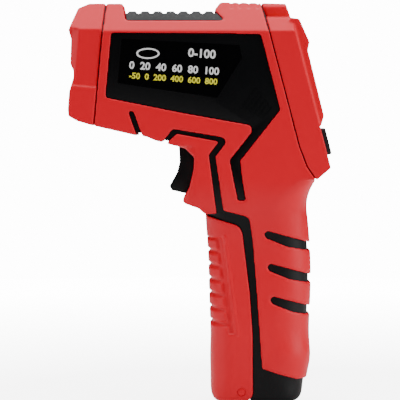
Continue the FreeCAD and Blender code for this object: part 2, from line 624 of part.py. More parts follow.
def build_optics():
    """Face plate, lens barrel with its lens and sensor, and the aiming laser."""
    plate = slab("plate_blank", ("plate_set", "-17.5 + fit_gap", "-16.5 + fit_gap"),
                 ("plate_set + plate_wall", "17.5 - fit_gap", "21.0 - fit_gap"), "7 - fit_gap", "nose")
    barrel_hole = rod("plate_barrel_hole", "barrel_radius + 0.1", "20", ("0", "0", "-lens_drop"), "x", "nose")
    laser_hole = rod("plate_laser_hole", "2.2", "20", ("0", "0", "laser_rise"), "x", "nose")
    subpart(cut("plate_drilled", plate, barrel_hole, laser_hole), "front_face_plate")

    back = "plate_set + plate_wall"
    barrel = turned("barrel", [("plate_set - 2.4", "barrel_bore"), ("plate_set - 2.4", "barrel_radius"),
                               (back, "barrel_radius"), (back, "barrel_radius + 1.2"),
                               (f"{back} + 2", "barrel_radius + 1.2"), (f"{back} + 2", "barrel_radius"),
                               ("34", "barrel_radius"), ("34", "barrel_bore")], "nose", "lens_drop")
    subpart(barrel, "lens_barrel")
    disc = rod("lens_disc", "barrel_bore - 0.05", "3", ("plate_set + 3", "0", "-lens_drop"), "x", "nose")
    ball = DOC.addObject("Part::Sphere", "lens_ball")
    set_sizes(ball, Radius="22")
    place(ball, "nose", ("plate_set + 3 + 22", "0", "-lens_drop"))
    subpart(common("lens_body", disc, ball), "ir_lens")
    subpart(turned("retainer", [("plate_set - 0.6", "barrel_bore - 1.6"), ("plate_set - 0.6", "barrel_bore"),
                                ("plate_set + 4.6", "barrel_bore"), ("plate_set + 4.6", "barrel_bore - 0.4"),
                                ("plate_set + 2.6", "barrel_bore - 1.6")], "nose", "lens_drop"), "lens_retainer")
    subpart(turned("holder", [("27", "4.7"), ("27", "barrel_bore"), ("34", "barrel_bore"), ("34", "barrel_radius"),
                              ("35", "barrel_radius"), ("35", "4.7")], "nose", "lens_drop"), "sensor_holder")
    can = rod("sensor_can", "4.1", "6.0", ("27.6", "0", "-lens_drop"), "x", "nose")
    flange = rod("sensor_flange", "4.7", "1.4", ("33.6", "0", "-lens_drop"), "x", "nose")
    pins = [rod("sensor_pin_%d" % index, "0.25", "3.2", ("35", f"{y}", f"-lens_drop + {z}"), "x", "nose")
            for index, (y, z) in enumerate([(1.8, 1.8), (1.8, -1.8), (-1.8, 1.8), (-1.8, -1.8)])]
    subpart(fuse("sensor", can, flange, *pins), "thermopile_sensor")
    card = slab("sensor_card", ("35", "-11", "-lens_drop - 11"), ("35 + board_wall", "11", "-lens_drop + 11"),
                "2", "nose")
    card_holes = [rod("card_hole_%d" % index, "0.25", "6", ("33", f"{y}", f"-lens_drop + {z}"), "x", "nose")
                  for index, (y, z) in enumerate([(1.8, 1.8), (1.8, -1.8), (-1.8, 1.8), (-1.8, -1.8)])]
    subpart(cut("sensor_card_drilled", card, *card_holes), "sensor_board")

    subpart(turned("laser", [(back, "1.5"), (back, "laser_radius"), (f"{back} + 16", "laser_radius"),
                             (f"{back} + 16", "0"), (f"{back} + 3", "0"), (f"{back} + 1", "1.5")],
                   "nose", "-laser_rise"), "laser_module")
    subpart(rod("laser_glass", "2.2", "1.2", ("plate_set + 0.6", "0", "laser_rise"), "x", "nose"), "laser_window")


# ----------------------------------------------------------------------------------------------
# Display housing, keys and main board
# ----------------------------------------------------------------------------------------------
KEY_SPAN = ("5.4", "16.8")
KEYS = [("key_left", "-key_pitch"), ("key_middle", "0"), ("key_right", "key_pitch")]


def build_rear(forms):
    """The housing behind the seam, with the raised display block, the display, the board and the keys."""
    wall = cut("housing_wall", common("housing_area", forms["outside"], rear_region("rear_area", "0")),
               forms["cavity"])
    raised = prism("display_block", [("-1", "17.5"), ("0.8", "18.4"), ("2.9", "21.9"), ("3.2", "50.3"),
                                     ("4.8", "53.5"), ("3.05", "64.0"), ("0", "65.3"), ("-1", "64.5")],
                   "head_width - 7", "rear")
    bosses = [rod("board_boss_%d" % index, "2.0", "board_set - board_wall - shell_wall + 0.8",
                  ("-board_set + board_wall", f"{y} * (head_width / 2 - 5.8)", z), "x", "rear")
              for index, (y, z) in enumerate([(-1, "4.6"), (1, "4.6"), (-1, "57.5"), (1, "57.5")])]
    hollow = slab("window_hole", ("-20", "-15.5", "25.0"), ("20", "15.5", "48.0"), "1.5", "rear")
    rebate = slab("window_rebate", ("1.9", "-17", "23.5"), ("20", "17", "49.5"), "2", "rear")
    holes = [slab(name + "_hole", ("-20", f"{y} - key_width / 2 - slide_gap", f"{KEY_SPAN[0]} - slide_gap"),
                  ("20", f"{y} + key_width / 2 + slide_gap", f"{KEY_SPAN[1]} + slide_gap"), "1.8", "rear")
             for name, y in KEYS]
    step_left = block("hood_left", ("1.0", "-40", "grip_height + 68.2"), ("40", "-12.5", "grip_height + 90"))
    step_right = block("hood_right", ("1.0", "12.5", "grip_height + 68.2"), ("40", "40", "grip_height + 90"))
    whole = fuse("housing_whole", wall, raised, *bosses)
    drills = [rod("boss_hole_%d" % index, "0.8", "6",
                  ("-board_set + board_wall - 1", f"{y} * (head_width / 2 - 5.8)", z), "x", "rear")
              for index, (y, z) in enumerate([(-1, "4.6"), (1, "4.6"), (-1, "57.5"), (1, "57.5")])]
    subpart(cut("housing", whole, hollow, rebate, step_left, step_right, *holes, *drills), "rear_bezel")

    glass_back = "-shell_wall - glass_wall"
    board_front = "-board_set + board_wall"
    subpart(slab("window_plate", ("1.9", "-17 + fit_gap", "23.5 + fit_gap"), ("2.9", "17 - fit_gap", "49.5 - fit_gap"),
                 "1.8", "rear"), "display_window")
    subpart(slab("glass", (glass_back, "-17", "22.0"), ("-shell_wall", "17", "51.0"), "0.5", "rear"), "lcd_glass")
    subpart(slab("light_guide", (board_front, "-16", "25.0"), (glass_back, "16", "50.5"), "0.8", "rear"),
            "backlight_diffuser")
    subpart(slab("zebra", (board_front, "-16", "22.4"), (glass_back, "16", "24.6"), frame="rear"), "zebra_connector")
    board = slab("board_blank", ("-board_set", "-head_width / 2 + 4.2", "2.2"),
                 (board_front, "head_width / 2 - 4.2", "59.6"), "2", "rear")
    board_holes = [rod("board_hole_%d" % index, "0.8", "6", ("-board_set - 2", f"{y} * (head_width / 2 - 5.8)", z),
                       "x", "rear") for index, (y, z) in enumerate([(-1, "4.6"), (1, "4.6"), (-1, "57.5"),
                                                                   (1, "57.5")])]
    subpart(cut("board", board, *board_holes), "main_board")
    screws = []
    for index, (y, z) in enumerate([(-1, "4.6"), (1, "4.6"), (-1, "57.5"), (1, "57.5")]):
        across = f"{y} * (head_width / 2 - 5.8)"
        screws.append(fuse("board_screw_%d" % index,
                           rod("board_shank_%d" % index, "0.8", "5", ("-board_set - 0.5", across, z), "x", "rear"),
                           rod("board_head_%d" % index, "1.6", "1.2", ("-board_set - 1.2", across, z), "x", "rear")))
    subpart(group("board_screw_set", *screws), "board_screws")
    chips = [slab("chip_%d" % index, (f"-board_set - {deep}", f"{y}", f"{z}"),
                  ("-board_set", f"{y} + {wide}", f"{z} + {tall}"), frame="rear")
             for index, (y, z, wide, tall, deep) in enumerate([(-12, 34, 10, 10, 1.6), (4, 40, 7, 5, 1.4),
                                                               (-14, 14, 5, 4, 1.3), (2, 28, 4, 4, 1.0),
                                                               (10, 50, 6, 3, 2.2)])]
    subpart(group("chips", *chips), "board_chips")
    subpart(rod("sounder", "5.5", "4.5", ("-board_set - 4.5", "9", "13"), "x", "rear"), "buzzer")

    for name, y in KEYS:
        cap = slab(name + "_cap", ("-shell_wall - 0.4", f"{y} - key_width / 2", KEY_SPAN[0]),
                   ("key_proud", f"{y} + key_width / 2", KEY_SPAN[1]), "1.5", "rear")
        rim = slab(name + "_rim", ("-shell_wall - 1.2", f"{y} - key_pitch / 2 + 0.2", f"{KEY_SPAN[0]} - 0.9"),
                   ("-shell_wall - 0.2", f"{y} + key_pitch / 2 - 0.2", f"{KEY_SPAN[1]} + 0.9"), "1.6", "rear")
        subpart(fuse(name + "_body", cap, rim), name)
    mat = slab("mat", (board_front, "-14.6", "3.6"), (f"{board_front} + 1.0", "14.6", "18.2"), "2", "rear")
    domes = [rod(name + "_dome", "2.6", "2.0", (board_front, y, "11.1"), "x", "rear") for name, y in KEYS]
    subpart(fuse("dome_mat", mat, *domes), "key_mat")


# ----------------------------------------------------------------------------------------------
# Trigger
# ----------------------------------------------------------------------------------------------
def build_trigger():
    """The trigger on its pin, its return spring and the switch that it presses."""
    outline = points("0", "grip_height", [
        (-34.0, 14.7), (-33.7, 10.5), (-33.6, 7.1), (-34.7, 2.7), (-37.9, -3.1), (-36.9, -4.9), (-31.3, -6.2),
        (-25.5, -6.4)]) + [("-trigger_back", "grip_height - 3.2"), ("-trigger_back", "grip_height + 15.2")] + points(
        "0", "grip_height", [(-23.4, 21.9), (-31.2, 22.3), (-33.2, 20.4)])
    blade = prism("trigger_blade", outline, "trigger_width")
    bore = cross_rod("trigger_bore", "trigger_pin_radius + pin_gap", "trigger_width", TRIGGER_PIVOT)
    subpart(cut("trigger_drilled", blade, bore), "trigger")
    subpart(cross_rod("pivot_pin", "trigger_pin_radius", "trigger_width / 2 + 0.5 + cheek_wall", TRIGGER_PIVOT),
            "trigger_pivot_pin")

    board_front = "-trigger_back + 9.6"
    spring_rise = "grip_height - 1.4"
    coil = rod("spring_outer", "spring_radius", "9.4", ("-trigger_back + 0.1", "0", spring_rise), "x")
    core = rod("spring_inner", "spring_radius - spring_wire", "12", ("-trigger_back - 1", "0", spring_rise), "x")
    subpart(cut("spring_tube", coil, core), "trigger_spring")
    subpart(block("switch_card", (board_front, "-trigger_width / 2 - 0.4", "grip_height - 6.5"),
                  (f"{board_front} + board_wall", "trigger_width / 2 + 0.4", "grip_height + 12")), "switch_board")
    housing = block("switch_case", (f"{board_front} - switch_depth", "-3.6", "grip_height + plunger_rise - 3.0"),
                    (board_front, "3.6", "grip_height + plunger_rise + 3.0"))
    bore = rod("switch_bore", "plunger_radius + pin_gap", "5.4",
               (f"{board_front} - switch_depth - 1", "0", "grip_height + plunger_rise"), "x")
    subpart(cut("switch_bored", housing, bore), "trigger_switch")
    subpart(rod("plunger", "plunger_radius", "4.9", ("-trigger_back + 0.25", "0", "grip_height + plunger_rise"), "x"),
            "switch_plunger")


# ----------------------------------------------------------------------------------------------
# Battery compartment
# ----------------------------------------------------------------------------------------------
def build_battery(forms):
    """The door on its pin, and the tray with two cells, their springs and contacts."""
    cheeks = [rod("left_heel", "hinge_radius", "head_width", ("-hinge_set", f"-({HEEL_FACE}) - head_width",
                                                              "hinge_radius"), "y"),
              rod("right_heel", "hinge_radius", "head_width", ("-hinge_set", HEEL_FACE, "hinge_radius"), "y")]
    hollow = cut("door_hollow", forms["door_inside"], *cheeks)
    whole = cut("door_leaf", common("door_skin", forms["outside"], door_region("door_side", "0")), hollow)
    hub_room = cross_rod("hub_room", "lug_radius + 0.4", HEEL_FACE, ("-hinge_set", "hinge_radius"))
    bore = cross_rod("door_bore", "door_pin_radius + pin_gap", "grip_width", ("-hinge_set", "hinge_radius"))
    subpart(cut("door", whole, hub_room, bore), "battery_door")
    subpart(cross_rod("hinge_bar", "door_pin_radius", "grip_width / 2 - 2.0", ("-hinge_set", "hinge_radius")),
            "door_hinge_pin")

    half = "grip_width / 2 - shell_wall - 0.95"
    room_half = "cell_pitch / 2 + cell_radius - 0.1"
    top = "cell_bottom + cell_length + 2.6"
    tray = block("tray_block", ("-cell_axis - 2.4", f"-({half})", "cell_bottom - 2.8"),
                 ("-cell_axis + cell_radius + tray_wall", half, f"{top} + tray_wall"))
    room = block("tray_room", ("-cell_axis - 10", f"-({room_half})", "cell_bottom - 1.6"),
                 ("-cell_axis + cell_radius", room_half, top))
    subpart(cut("tray", tray, room), "battery_tray")
    springs, contacts = [], []
    for name, side in (("left", -1), ("right", 1)):
        across = f"{side} * cell_pitch / 2"
        can = rod(name + "_can", "cell_radius - 0.1", "cell_length - 1", ("-cell_axis", across, "cell_bottom"), "z")
        tip_low = "cell_bottom + cell_length - 1.2" if side < 0 else "cell_bottom - 0.8"
        tip = rod(name + "_tip", "1.9", "1.2", ("-cell_axis", across, tip_low), "z")
        subpart(fuse(name + "_cell", can, tip), "battery_cell_" + name)
        spring_low = "cell_bottom - 1.2" if side < 0 else "cell_bottom + cell_length - 1"
        spring_length = "1.2" if side < 0 else "3.2"
        springs.append(cut(name + "_spring",
                           rod(name + "_spring_outer", "3.2", spring_length, ("-cell_axis", across, spring_low), "z"),
                           rod(name + "_spring_inner", "2.3", "30", ("-cell_axis", across, f"{spring_low} - 5"), "z")))
        low, high = (("cell_bottom - 1.6", "cell_bottom - 1.2") if side < 0
                     else ("cell_bottom - 1.2", "cell_bottom - 0.8"))
        contacts.append(block(name + "_contact_low", ("-cell_axis - 2.2", f"{across} - 4.4", low),
                              ("-cell_axis + 4.4", f"{across} + 4.4", high)))
        low, high = (("cell_bottom + cell_length", "cell_bottom + cell_length + 0.4") if side < 0
                     else ("cell_bottom + cell_length + 2.2", "cell_bottom + cell_length + 2.6"))
        contacts.append(block(name + "_contact_high", ("-cell_axis - 2.2", f"{across} - 4.4", low),
                              ("-cell_axis + 4.4", f"{across} + 4.4", high)))
    subpart(group("spring_pair", *springs), "battery_springs")
    subpart(group("contact_set", *contacts), "battery_contacts")


def build_strip():
    """The ribbed rubber pad on the deck between the collar and the hood."""
    ribs = 7
    pitch = 5.4
    flat = 2.6
    outline = [("-55.8", "deck_rise"), ("-56.3", "deck_rise + 3.1")]
    for index in range(ribs):
        low = -55.7 + pitch * index
        outline += [(f"{low}", "deck_rise + 3.1"), (f"{low + 0.9}", "deck_rise + 4.1"),
                    (f"{low + 0.9 + flat}", "deck_rise + 4.1"), (f"{low + 1.8 + flat}", "deck_rise + 3.1")]
    outline += [("-17.8", "deck_rise + 3.1"), ("-14.9", "deck_rise")]
    body = prism("strip_block", outline, "head_width", "head")
    roof_half = "shoulder_rise + head_width / 2 - deck_rise - 0.3"
    roof = new_body("strip_roof", "head")
    pad = roof.newObject("PartDesign::Pad", "strip_roof_pad")
    pad.Profile = new_sketch(roof, "YZ_Plane", [
        (f"-({roof_half})", "deck_rise"), (roof_half, "deck_rise"), (f"{roof_half} - 5.5", "deck_rise + 5.5"),
        (f"-({roof_half}) + 5.5", "deck_rise + 5.5")], lift="-80")
    set_sizes(pad, Length="100")
    subpart(common("strip", body, roof), "top_grip_strip")


# ----------------------------------------------------------------------------------------------
# Build, check and write
# ----------------------------------------------------------------------------------------------
def check_document():
    """Stops if any object failed or any sub-part is empty or broken."""
    for item in DOC.Objects:
        if {"Invalid", "Error"} & set(item.State):
            raise RuntimeError("object failed: %s %s" % (item.Name, item.State))
    for item in SUBPARTS:
        if item.Shape.isNull() or not item.Shape.isValid() or not item.Shape.Solids:
            raise RuntimeError("broken sub-part: " + item.Label)


def main():
    """Builds the document and writes one file for each sub-part."""
    fill_sheet()
    halves = {"left": half_space("left_half", -1), "right": half_space("right_half", 1)}
    forms = build_forms()
    build_core(forms, halves)
    build_covers(forms, halves)
    build_side_panels(forms, halves)
    build_strip()
    build_nose(forms)
    build_optics()
    build_rear(forms)
    build_trigger()
    build_battery(forms)
    DOC.recompute()
    check_document()
    os.makedirs("parts", exist_ok=True)
    for item in SUBPARTS:
        item.Shape.exportStep("parts/%s.step" % item.Label)
        print("%-22s %2d solids %10.1f mm3" % (item.Label, len(item.Shape.Solids), item.Shape.Volume))


main()
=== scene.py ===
import json
import logging
import math
from dataclasses import dataclass, field
from enum import Enum
from typing import Callable, Optional, Sequence

import bpy
import numpy as np
from mathutils import Matrix, Vector


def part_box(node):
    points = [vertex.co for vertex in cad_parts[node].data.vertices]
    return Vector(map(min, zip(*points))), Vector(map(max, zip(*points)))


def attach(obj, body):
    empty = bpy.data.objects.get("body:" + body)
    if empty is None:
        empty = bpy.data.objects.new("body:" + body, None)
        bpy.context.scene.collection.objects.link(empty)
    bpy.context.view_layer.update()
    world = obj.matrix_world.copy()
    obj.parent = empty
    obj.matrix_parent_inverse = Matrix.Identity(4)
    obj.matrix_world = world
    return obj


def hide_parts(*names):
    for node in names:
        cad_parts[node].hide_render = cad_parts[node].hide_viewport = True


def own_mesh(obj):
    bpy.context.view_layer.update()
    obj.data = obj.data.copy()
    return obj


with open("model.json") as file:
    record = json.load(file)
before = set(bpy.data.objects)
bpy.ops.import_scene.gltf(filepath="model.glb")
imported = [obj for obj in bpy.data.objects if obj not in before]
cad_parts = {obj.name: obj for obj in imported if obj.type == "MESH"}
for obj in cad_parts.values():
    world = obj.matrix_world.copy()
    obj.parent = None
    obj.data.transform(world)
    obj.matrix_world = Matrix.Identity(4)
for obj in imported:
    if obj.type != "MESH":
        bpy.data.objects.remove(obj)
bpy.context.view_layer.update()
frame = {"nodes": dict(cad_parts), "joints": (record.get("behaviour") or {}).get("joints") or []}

MM = 0.001
LOG = logging.getLogger("thermometer")
Colour = tuple[float, float, float]
Point = tuple[float, float, float]


# --------------------------------------------------------------------------------------------
# Workshop: the hand tools that every class uses
# --------------------------------------------------------------------------------------------
def only(piece: bpy.types.Object) -> bpy.types.Object:
    """Selects one object and makes it active.

    Args:
        piece: the object to work on.

    Returns:
        The same object.
    """
    bpy.ops.object.select_all(action="DESELECT")
    piece.select_set(True)
    bpy.context.view_layer.objects.active = piece
    return piece


def freeze(piece: bpy.types.Object) -> bpy.types.Object:
    """Puts an object's place, turn and size into its mesh.

    Args:
        piece: the object to freeze.

    Returns:
        The same object.
    """
    only(piece)
    bpy.ops.object.transform_apply(location=True, rotation=True, scale=True)
    return piece


def modify(piece: bpy.types.Object, kind: str, **settings: object) -> bpy.types.Object:
    """Adds a modifier and applies it at once.

    Args:
        piece: the object to change.
        kind: the modifier's type, such as BEVEL.
        settings: values of the modifier's properties.

    Returns:
        The same object.
    """
    only(piece)
    modifier = piece.modifiers.new(kind.title(), kind)
    for name, value in settings.items():
        setattr(modifier, name, value)
    bpy.ops.object.modifier_apply(modifier=modifier.name)
    return piece


def smooth(piece: bpy.types.Object, degrees: float = 35.0) -> bpy.types.Object:
    """Shades a piece smooth except across edges sharper than an angle.

    Args:
        piece: the piece to shade.
        degrees: the angle past which an edge stays crisp.

    Returns:
        The same piece.
    """
    only(piece)
    bpy.ops.object.shade_smooth_by_angle(angle=math.radians(degrees))
    return piece


def join(pieces: Sequence[bpy.types.Object], name: str) -> bpy.types.Object:
    """Joins objects into the first one.

    Args:
        pieces: the objects to join.
        name: the name of the result.

    Returns:
        The joined object.
    """
    bpy.ops.object.select_all(action="DESELECT")
    for piece in pieces:
        piece.select_set(True)
    bpy.context.view_layer.objects.active = pieces[0]
    if len(pieces) > 1:
        bpy.ops.object.join()
    pieces[0].name = name
    pieces[0].data.name = name
    return pieces[0]


def settle(piece: bpy.types.Object, matrix: Matrix) -> bpy.types.Object:
    """Carries a piece made at the origin to its place, with the place in its mesh.

    Args:
        piece: the piece.
        matrix: the place that its mesh is carried to.

    Returns:
        The same piece.
    """
    piece.data.transform(matrix)
    piece.data.update()
    return piece


def copy_of(node: str, name: str, flat_angle: float = 0.6) -> bpy.types.Object:
    """A copy of a CAD node as a closed mesh, with its flat faces made whole.

    Args:
        node: the CAD node.
        name: the new piece's name.
        flat_angle: faces that differ by less than this many degrees are joined.

    Returns:
        The copy, loose from the frame.
    """
    piece = bpy.data.objects.new(name, frame["nodes"][node].data.copy())
    piece.data.name = name
    bpy.context.scene.collection.objects.link(piece)
    piece.data.materials.clear()
    only(piece)
    bpy.ops.object.mode_set(mode="EDIT")
    bpy.ops.mesh.select_all(action="SELECT")
    bpy.ops.mesh.remove_doubles(threshold=0.002 * MM)
    bpy.ops.mesh.normals_make_consistent(inside=False)
    if flat_angle:
        bpy.ops.mesh.dissolve_limited(angle_limit=math.radians(flat_angle))
    bpy.ops.object.mode_set(mode="OBJECT")
    return piece


def points_of(piece: bpy.types.Object) -> np.ndarray:
    """Reads a mesh's points.

    Args:
        piece: the object.

    Returns:
        The points as rows of x, y and z.
    """
    found = np.empty(len(piece.data.vertices) * 3)
    piece.data.vertices.foreach_get("co", found)
    return found.reshape(-1, 3)


def normals_of(piece: bpy.types.Object) -> np.ndarray:
    """Reads the outward direction at each point of a mesh.

    Args:
        piece: the object.

    Returns:
        The directions as rows of x, y and z.
    """
    found = np.empty(len(piece.data.vertices) * 3)
    piece.data.vertices.foreach_get("normal", found)
    return found.reshape(-1, 3)


def press(piece: bpy.types.Object, depth: Callable[[np.ndarray, np.ndarray], np.ndarray]) -> None:
    """Presses a piece's surface inwards, like a thumb on clay.

    Args:
        piece: the piece, with a fine mesh.
        depth: gives each point's depth from the points and their normals.
    """
    points, normals = points_of(piece), normals_of(piece)
    moved = points - normals * depth(points, normals)[:, None]
    piece.data.vertices.foreach_set("co", moved.ravel())
    piece.data.update()


def ramp(value: np.ndarray, low: float, high: float) -> np.ndarray:
    """A smooth step from 0 to 1.

    Args:
        value: where the step is read.
        low: where it starts to rise.
        high: where it has risen.

    Returns:
        The step's height at each value.
    """
    part = np.clip((value - low) / (high - low), 0.0, 1.0)
    return part * part * (3.0 - 2.0 * part)


def fit(piece: bpy.types.Object, body: str, material: bpy.types.Material,
        replaced: Sequence[str] = ()) -> None:
    """Finishes a new piece: its material, the body it rides on and what it stands for.

    Args:
        piece: the finished piece.
        body: the CAD body it moves with.
        material: its material.
        replaced: CAD nodes that it takes the place of.
    """
    piece.data.materials.clear()
    piece.data.materials.append(material)
    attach(piece, body)
    if replaced:
        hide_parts(*replaced)
    LOG.info("%s: %d faces on %s", piece.name, len(piece.data.polygons), body)


# --------------------------------------------------------------------------------------------
# Finishes
# --------------------------------------------------------------------------------------------
class Sheet:
    """Lays out the nodes of a material or of a node group."""

    def __init__(self, tree: bpy.types.NodeTree) -> None:
        """Takes the node tree to work on."""
        self.tree = tree

    def node(self, kind: str, values: dict, **settings: object) -> bpy.types.Node:
        """Adds a node.

        Args:
            kind: the node's type.
            values: its inputs, each a number, a colour or another node's output.
            settings: its other properties.

        Returns:
            The node.
        """
        made = self.tree.nodes.new(kind)
        for name, value in settings.items():
            setattr(made, name, value)
        for key, value in values.items():
            if isinstance(value, bpy.types.NodeSocket):
                self.tree.links.new(value, made.inputs[key])
            else:
                made.inputs[key].default_value = value
        return made

    def math(self, operation: str, *values: object) -> bpy.types.NodeSocket:
        """Adds a Math node on up to three values and gives its output."""
        return self.node("ShaderNodeMath", dict(enumerate(values)), operation=operation).outputs[0]

    def mix(self, share: object, one: object, two: object) -> bpy.types.NodeSocket:
        """Mixes two colours by a share and gives the colour."""
        made = self.node("ShaderNodeMix", {0: share, 6: one, 7: two}, data_type="RGBA")
        return made.outputs[2]


def new_group(name: str, inputs: dict[str, float], outputs: Sequence[str]) -> tuple[Sheet, dict, dict]:
    """Starts a shader node group of plain numbers.

    Args:
        name: the group's name.
        inputs: its inputs and their starting values.
        outputs: its outputs.

    Returns:
        The sheet, the inputs' sockets inside it and the outputs' sockets inside it.
    """
    tree = bpy.data.node_groups.new(name, "ShaderNodeTree")
    for key, value in inputs.items():
        tree.interface.new_socket(key, in_out="INPUT", socket_type="NodeSocketFloat").default_value = value
    for key in outputs:
        tree.interface.new_socket(key, in_out="OUTPUT", socket_type="NodeSocketFloat")
    sheet = Sheet(tree)
    start, end = sheet.node("NodeGroupInput", {}), sheet.node("NodeGroupOutput", {})
    return sheet, {key: start.outputs[key] for key in inputs}, {key: end.inputs[key] for key in outputs}


def grain_group() -> bpy.types.NodeTree:
    """Moulded or cast skin: a fine pebble, slow cloudiness and a few hairline scuffs.

    Returns:
        The node group.
    """
    sheet, given, out = new_group("surface_grain", {"Grain": 2500.0, "Cloud": 60.0, "Scuff": 0.2},
                                  ("Height", "Cloudiness", "Rub"))
    place = sheet.node("ShaderNodeTexCoord", {}).outputs["Object"]
    pebble = sheet.node("ShaderNodeTexVoronoi", {"Vector": place, "Scale": given["Grain"]},
                        feature="SMOOTH_F1").outputs["Distance"]
    powder = sheet.node("ShaderNodeTexNoise", {"Vector": place, "Scale": given["Grain"], "Detail": 3.0}).outputs[0]
    cloud = sheet.node("ShaderNodeTexNoise", {"Vector": place, "Scale": given["Cloud"], "Detail": 4.0}).outputs[0]
    turned = sheet.node("ShaderNodeMapping", {"Vector": place, "Rotation": (0.4, 0.9, 0.3),
                                              "Scale": (1.0, 1.0, 0.04)}).outputs[0]
    lines = sheet.node("ShaderNodeTexNoise", {"Vector": turned, "Scale": 1400.0, "Detail": 2.0}).outputs[0]
    rub = sheet.math("MULTIPLY", sheet.node("ShaderNodeMapRange", {0: lines, 1: 0.62, 2: 0.72}).outputs[0],
                     given["Scuff"])
    sheet.tree.links.new(sheet.math("ADD", sheet.math("MULTIPLY", pebble, 0.6), sheet.math("MULTIPLY", powder, 0.4)),
                         out["Height"])
    sheet.tree.links.new(cloud, out["Cloudiness"])
    sheet.tree.links.new(rub, out["Rub"])
    return sheet.tree


def dust_group() -> bpy.types.NodeTree:
    """Fine dust in patches on the faces that look up.

    Returns:
        The node group.
    """
    sheet, given, out = new_group("settled_dust", {"Amount": 0.1}, ("Dust",))
    place = sheet.node("ShaderNodeTexCoord", {}).outputs["Object"]
    shape = sheet.node("ShaderNodeNewGeometry", {})
    up = sheet.node("ShaderNodeSeparateXYZ", {0: shape.outputs["Normal"]}).outputs[2]
    facing = sheet.node("ShaderNodeMapRange", {0: up, 1: 0.2, 2: 1.0}).outputs[0]
    specks = sheet.node("ShaderNodeTexNoise", {"Vector": place, "Scale": 900.0, "Detail": 5.0}).outputs[0]
    patchy = sheet.node("ShaderNodeMapRange", {0: specks, 1: 0.45, 2: 0.75}).outputs[0]
    sheet.tree.links.new(sheet.math("MULTIPLY", sheet.math("MULTIPLY", facing, patchy), given["Amount"]), out["Dust"])
    return sheet.tree


GRAIN, DUST = grain_group(), dust_group()
DUST_COLOUR = (0.42, 0.40, 0.37, 1.0)


def rgba(colour: Colour) -> tuple[float, float, float, float]:
    """A colour with full alpha."""
    return (*colour, 1.0)


@dataclass(frozen=True)
class Finish:
    """A finish with grain, cloudiness, light scuffs and a trace of dust."""

    name: str
    colour: Colour
    shade: Colour
    rough: float
    metal: float = 0.0
    grain: float = 2600.0
    depth: float = 0.012 * MM
    cloud: float = 45.0
    coat: float = 0.0
    scuff: float = 0.08
    dust: float = 0.02
    specular: float = 0.30

    @property
    def title(self) -> str:
        """The material's name, which no slot of the frame has."""
        return "finish_" + self.name

    def paint(self, sheet: Sheet, colour: bpy.types.NodeSocket) -> bpy.types.NodeSocket:
        """Lets a special finish change the base colour, which is left as it is here."""
        return colour

    def make(self) -> bpy.types.Material:
        """Makes the material.

        Returns:
            The material, with its nodes laid out.
        """
        material = bpy.data.materials.new(self.title)
        material.use_nodes = True
        sheet = Sheet(material.node_tree)
        shader = material.node_tree.nodes["Principled BSDF"]
        grain = sheet.node("ShaderNodeGroup", {}, node_tree=GRAIN)
        for key, value in (("Grain", self.grain), ("Cloud", self.cloud), ("Scuff", self.scuff)):
            grain.inputs[key].default_value = value
        dust = sheet.node("ShaderNodeGroup", {}, node_tree=DUST)
        dust.inputs["Amount"].default_value = self.dust
        colour = sheet.mix(grain.outputs["Cloudiness"], rgba(self.colour), rgba(self.shade))
        colour = sheet.mix(dust.outputs["Dust"], self.paint(sheet, colour), DUST_COLOUR)
        rough = sheet.node("ShaderNodeMapRange", {0: grain.outputs["Cloudiness"], 3: self.rough - 0.05,
                                                  4: self.rough + 0.05}).outputs[0]
        rough = sheet.math("ADD", rough, sheet.math("MULTIPLY", grain.outputs["Rub"], 0.25))
        bump = sheet.node("ShaderNodeBump", {"Height": grain.outputs["Height"], "Distance": self.depth,
                                             "Strength": 1.0})
        material.node_tree.links.new(colour, shader.inputs["Base Color"])
        material.node_tree.links.new(rough, shader.inputs["Roughness"])
        material.node_tree.links.new(bump.outputs[0], shader.inputs["Normal"])
        shader.inputs["Metallic"].default_value = self.metal
        shader.inputs["Coat Weight"].default_value = self.coat
        shader.inputs["Coat Roughness"].default_value = 0.12
        shader.inputs["Specular IOR Level"].default_value = self.specular
        material.diffuse_color = rgba(self.colour)
        return material


@dataclass(frozen=True)
class BoardFinish(Finish):
    """A circuit board: solder mask with copper tracks and vias under it."""

    track: Colour = (0.05, 0.24, 0.07)

    def paint(self, sheet: Sheet, colour: bpy.types.NodeSocket) -> bpy.types.NodeSocket:
        """Lays tracks and vias over the mask's colour.

        Args:
            sheet: the material's sheet.
            colour: the colour so far.

        Returns:
            The colour with it.
        """
        place = sheet.node("ShaderNodeTexCoord", {}).outputs["Object"]
        tracks = sheet.node("ShaderNodeTexBrick", {"Vector": place, "Scale": 260.0, "Mortar Size": 0.06,
                                                   "Color1": (0, 0, 0, 1), "Color2": (0, 0, 0, 1),
                                                   "Mortar": (1, 1, 1, 1)}).outputs["Fac"]
        vias = sheet.node("ShaderNodeTexVoronoi", {"Vector": place, "Scale": 420.0}).outputs["Distance"]
        colour = sheet.mix(tracks, colour, rgba(self.track))
        return sheet.mix(sheet.math("LESS_THAN", vias, 0.12), colour, (0.6, 0.42, 0.12, 1.0))


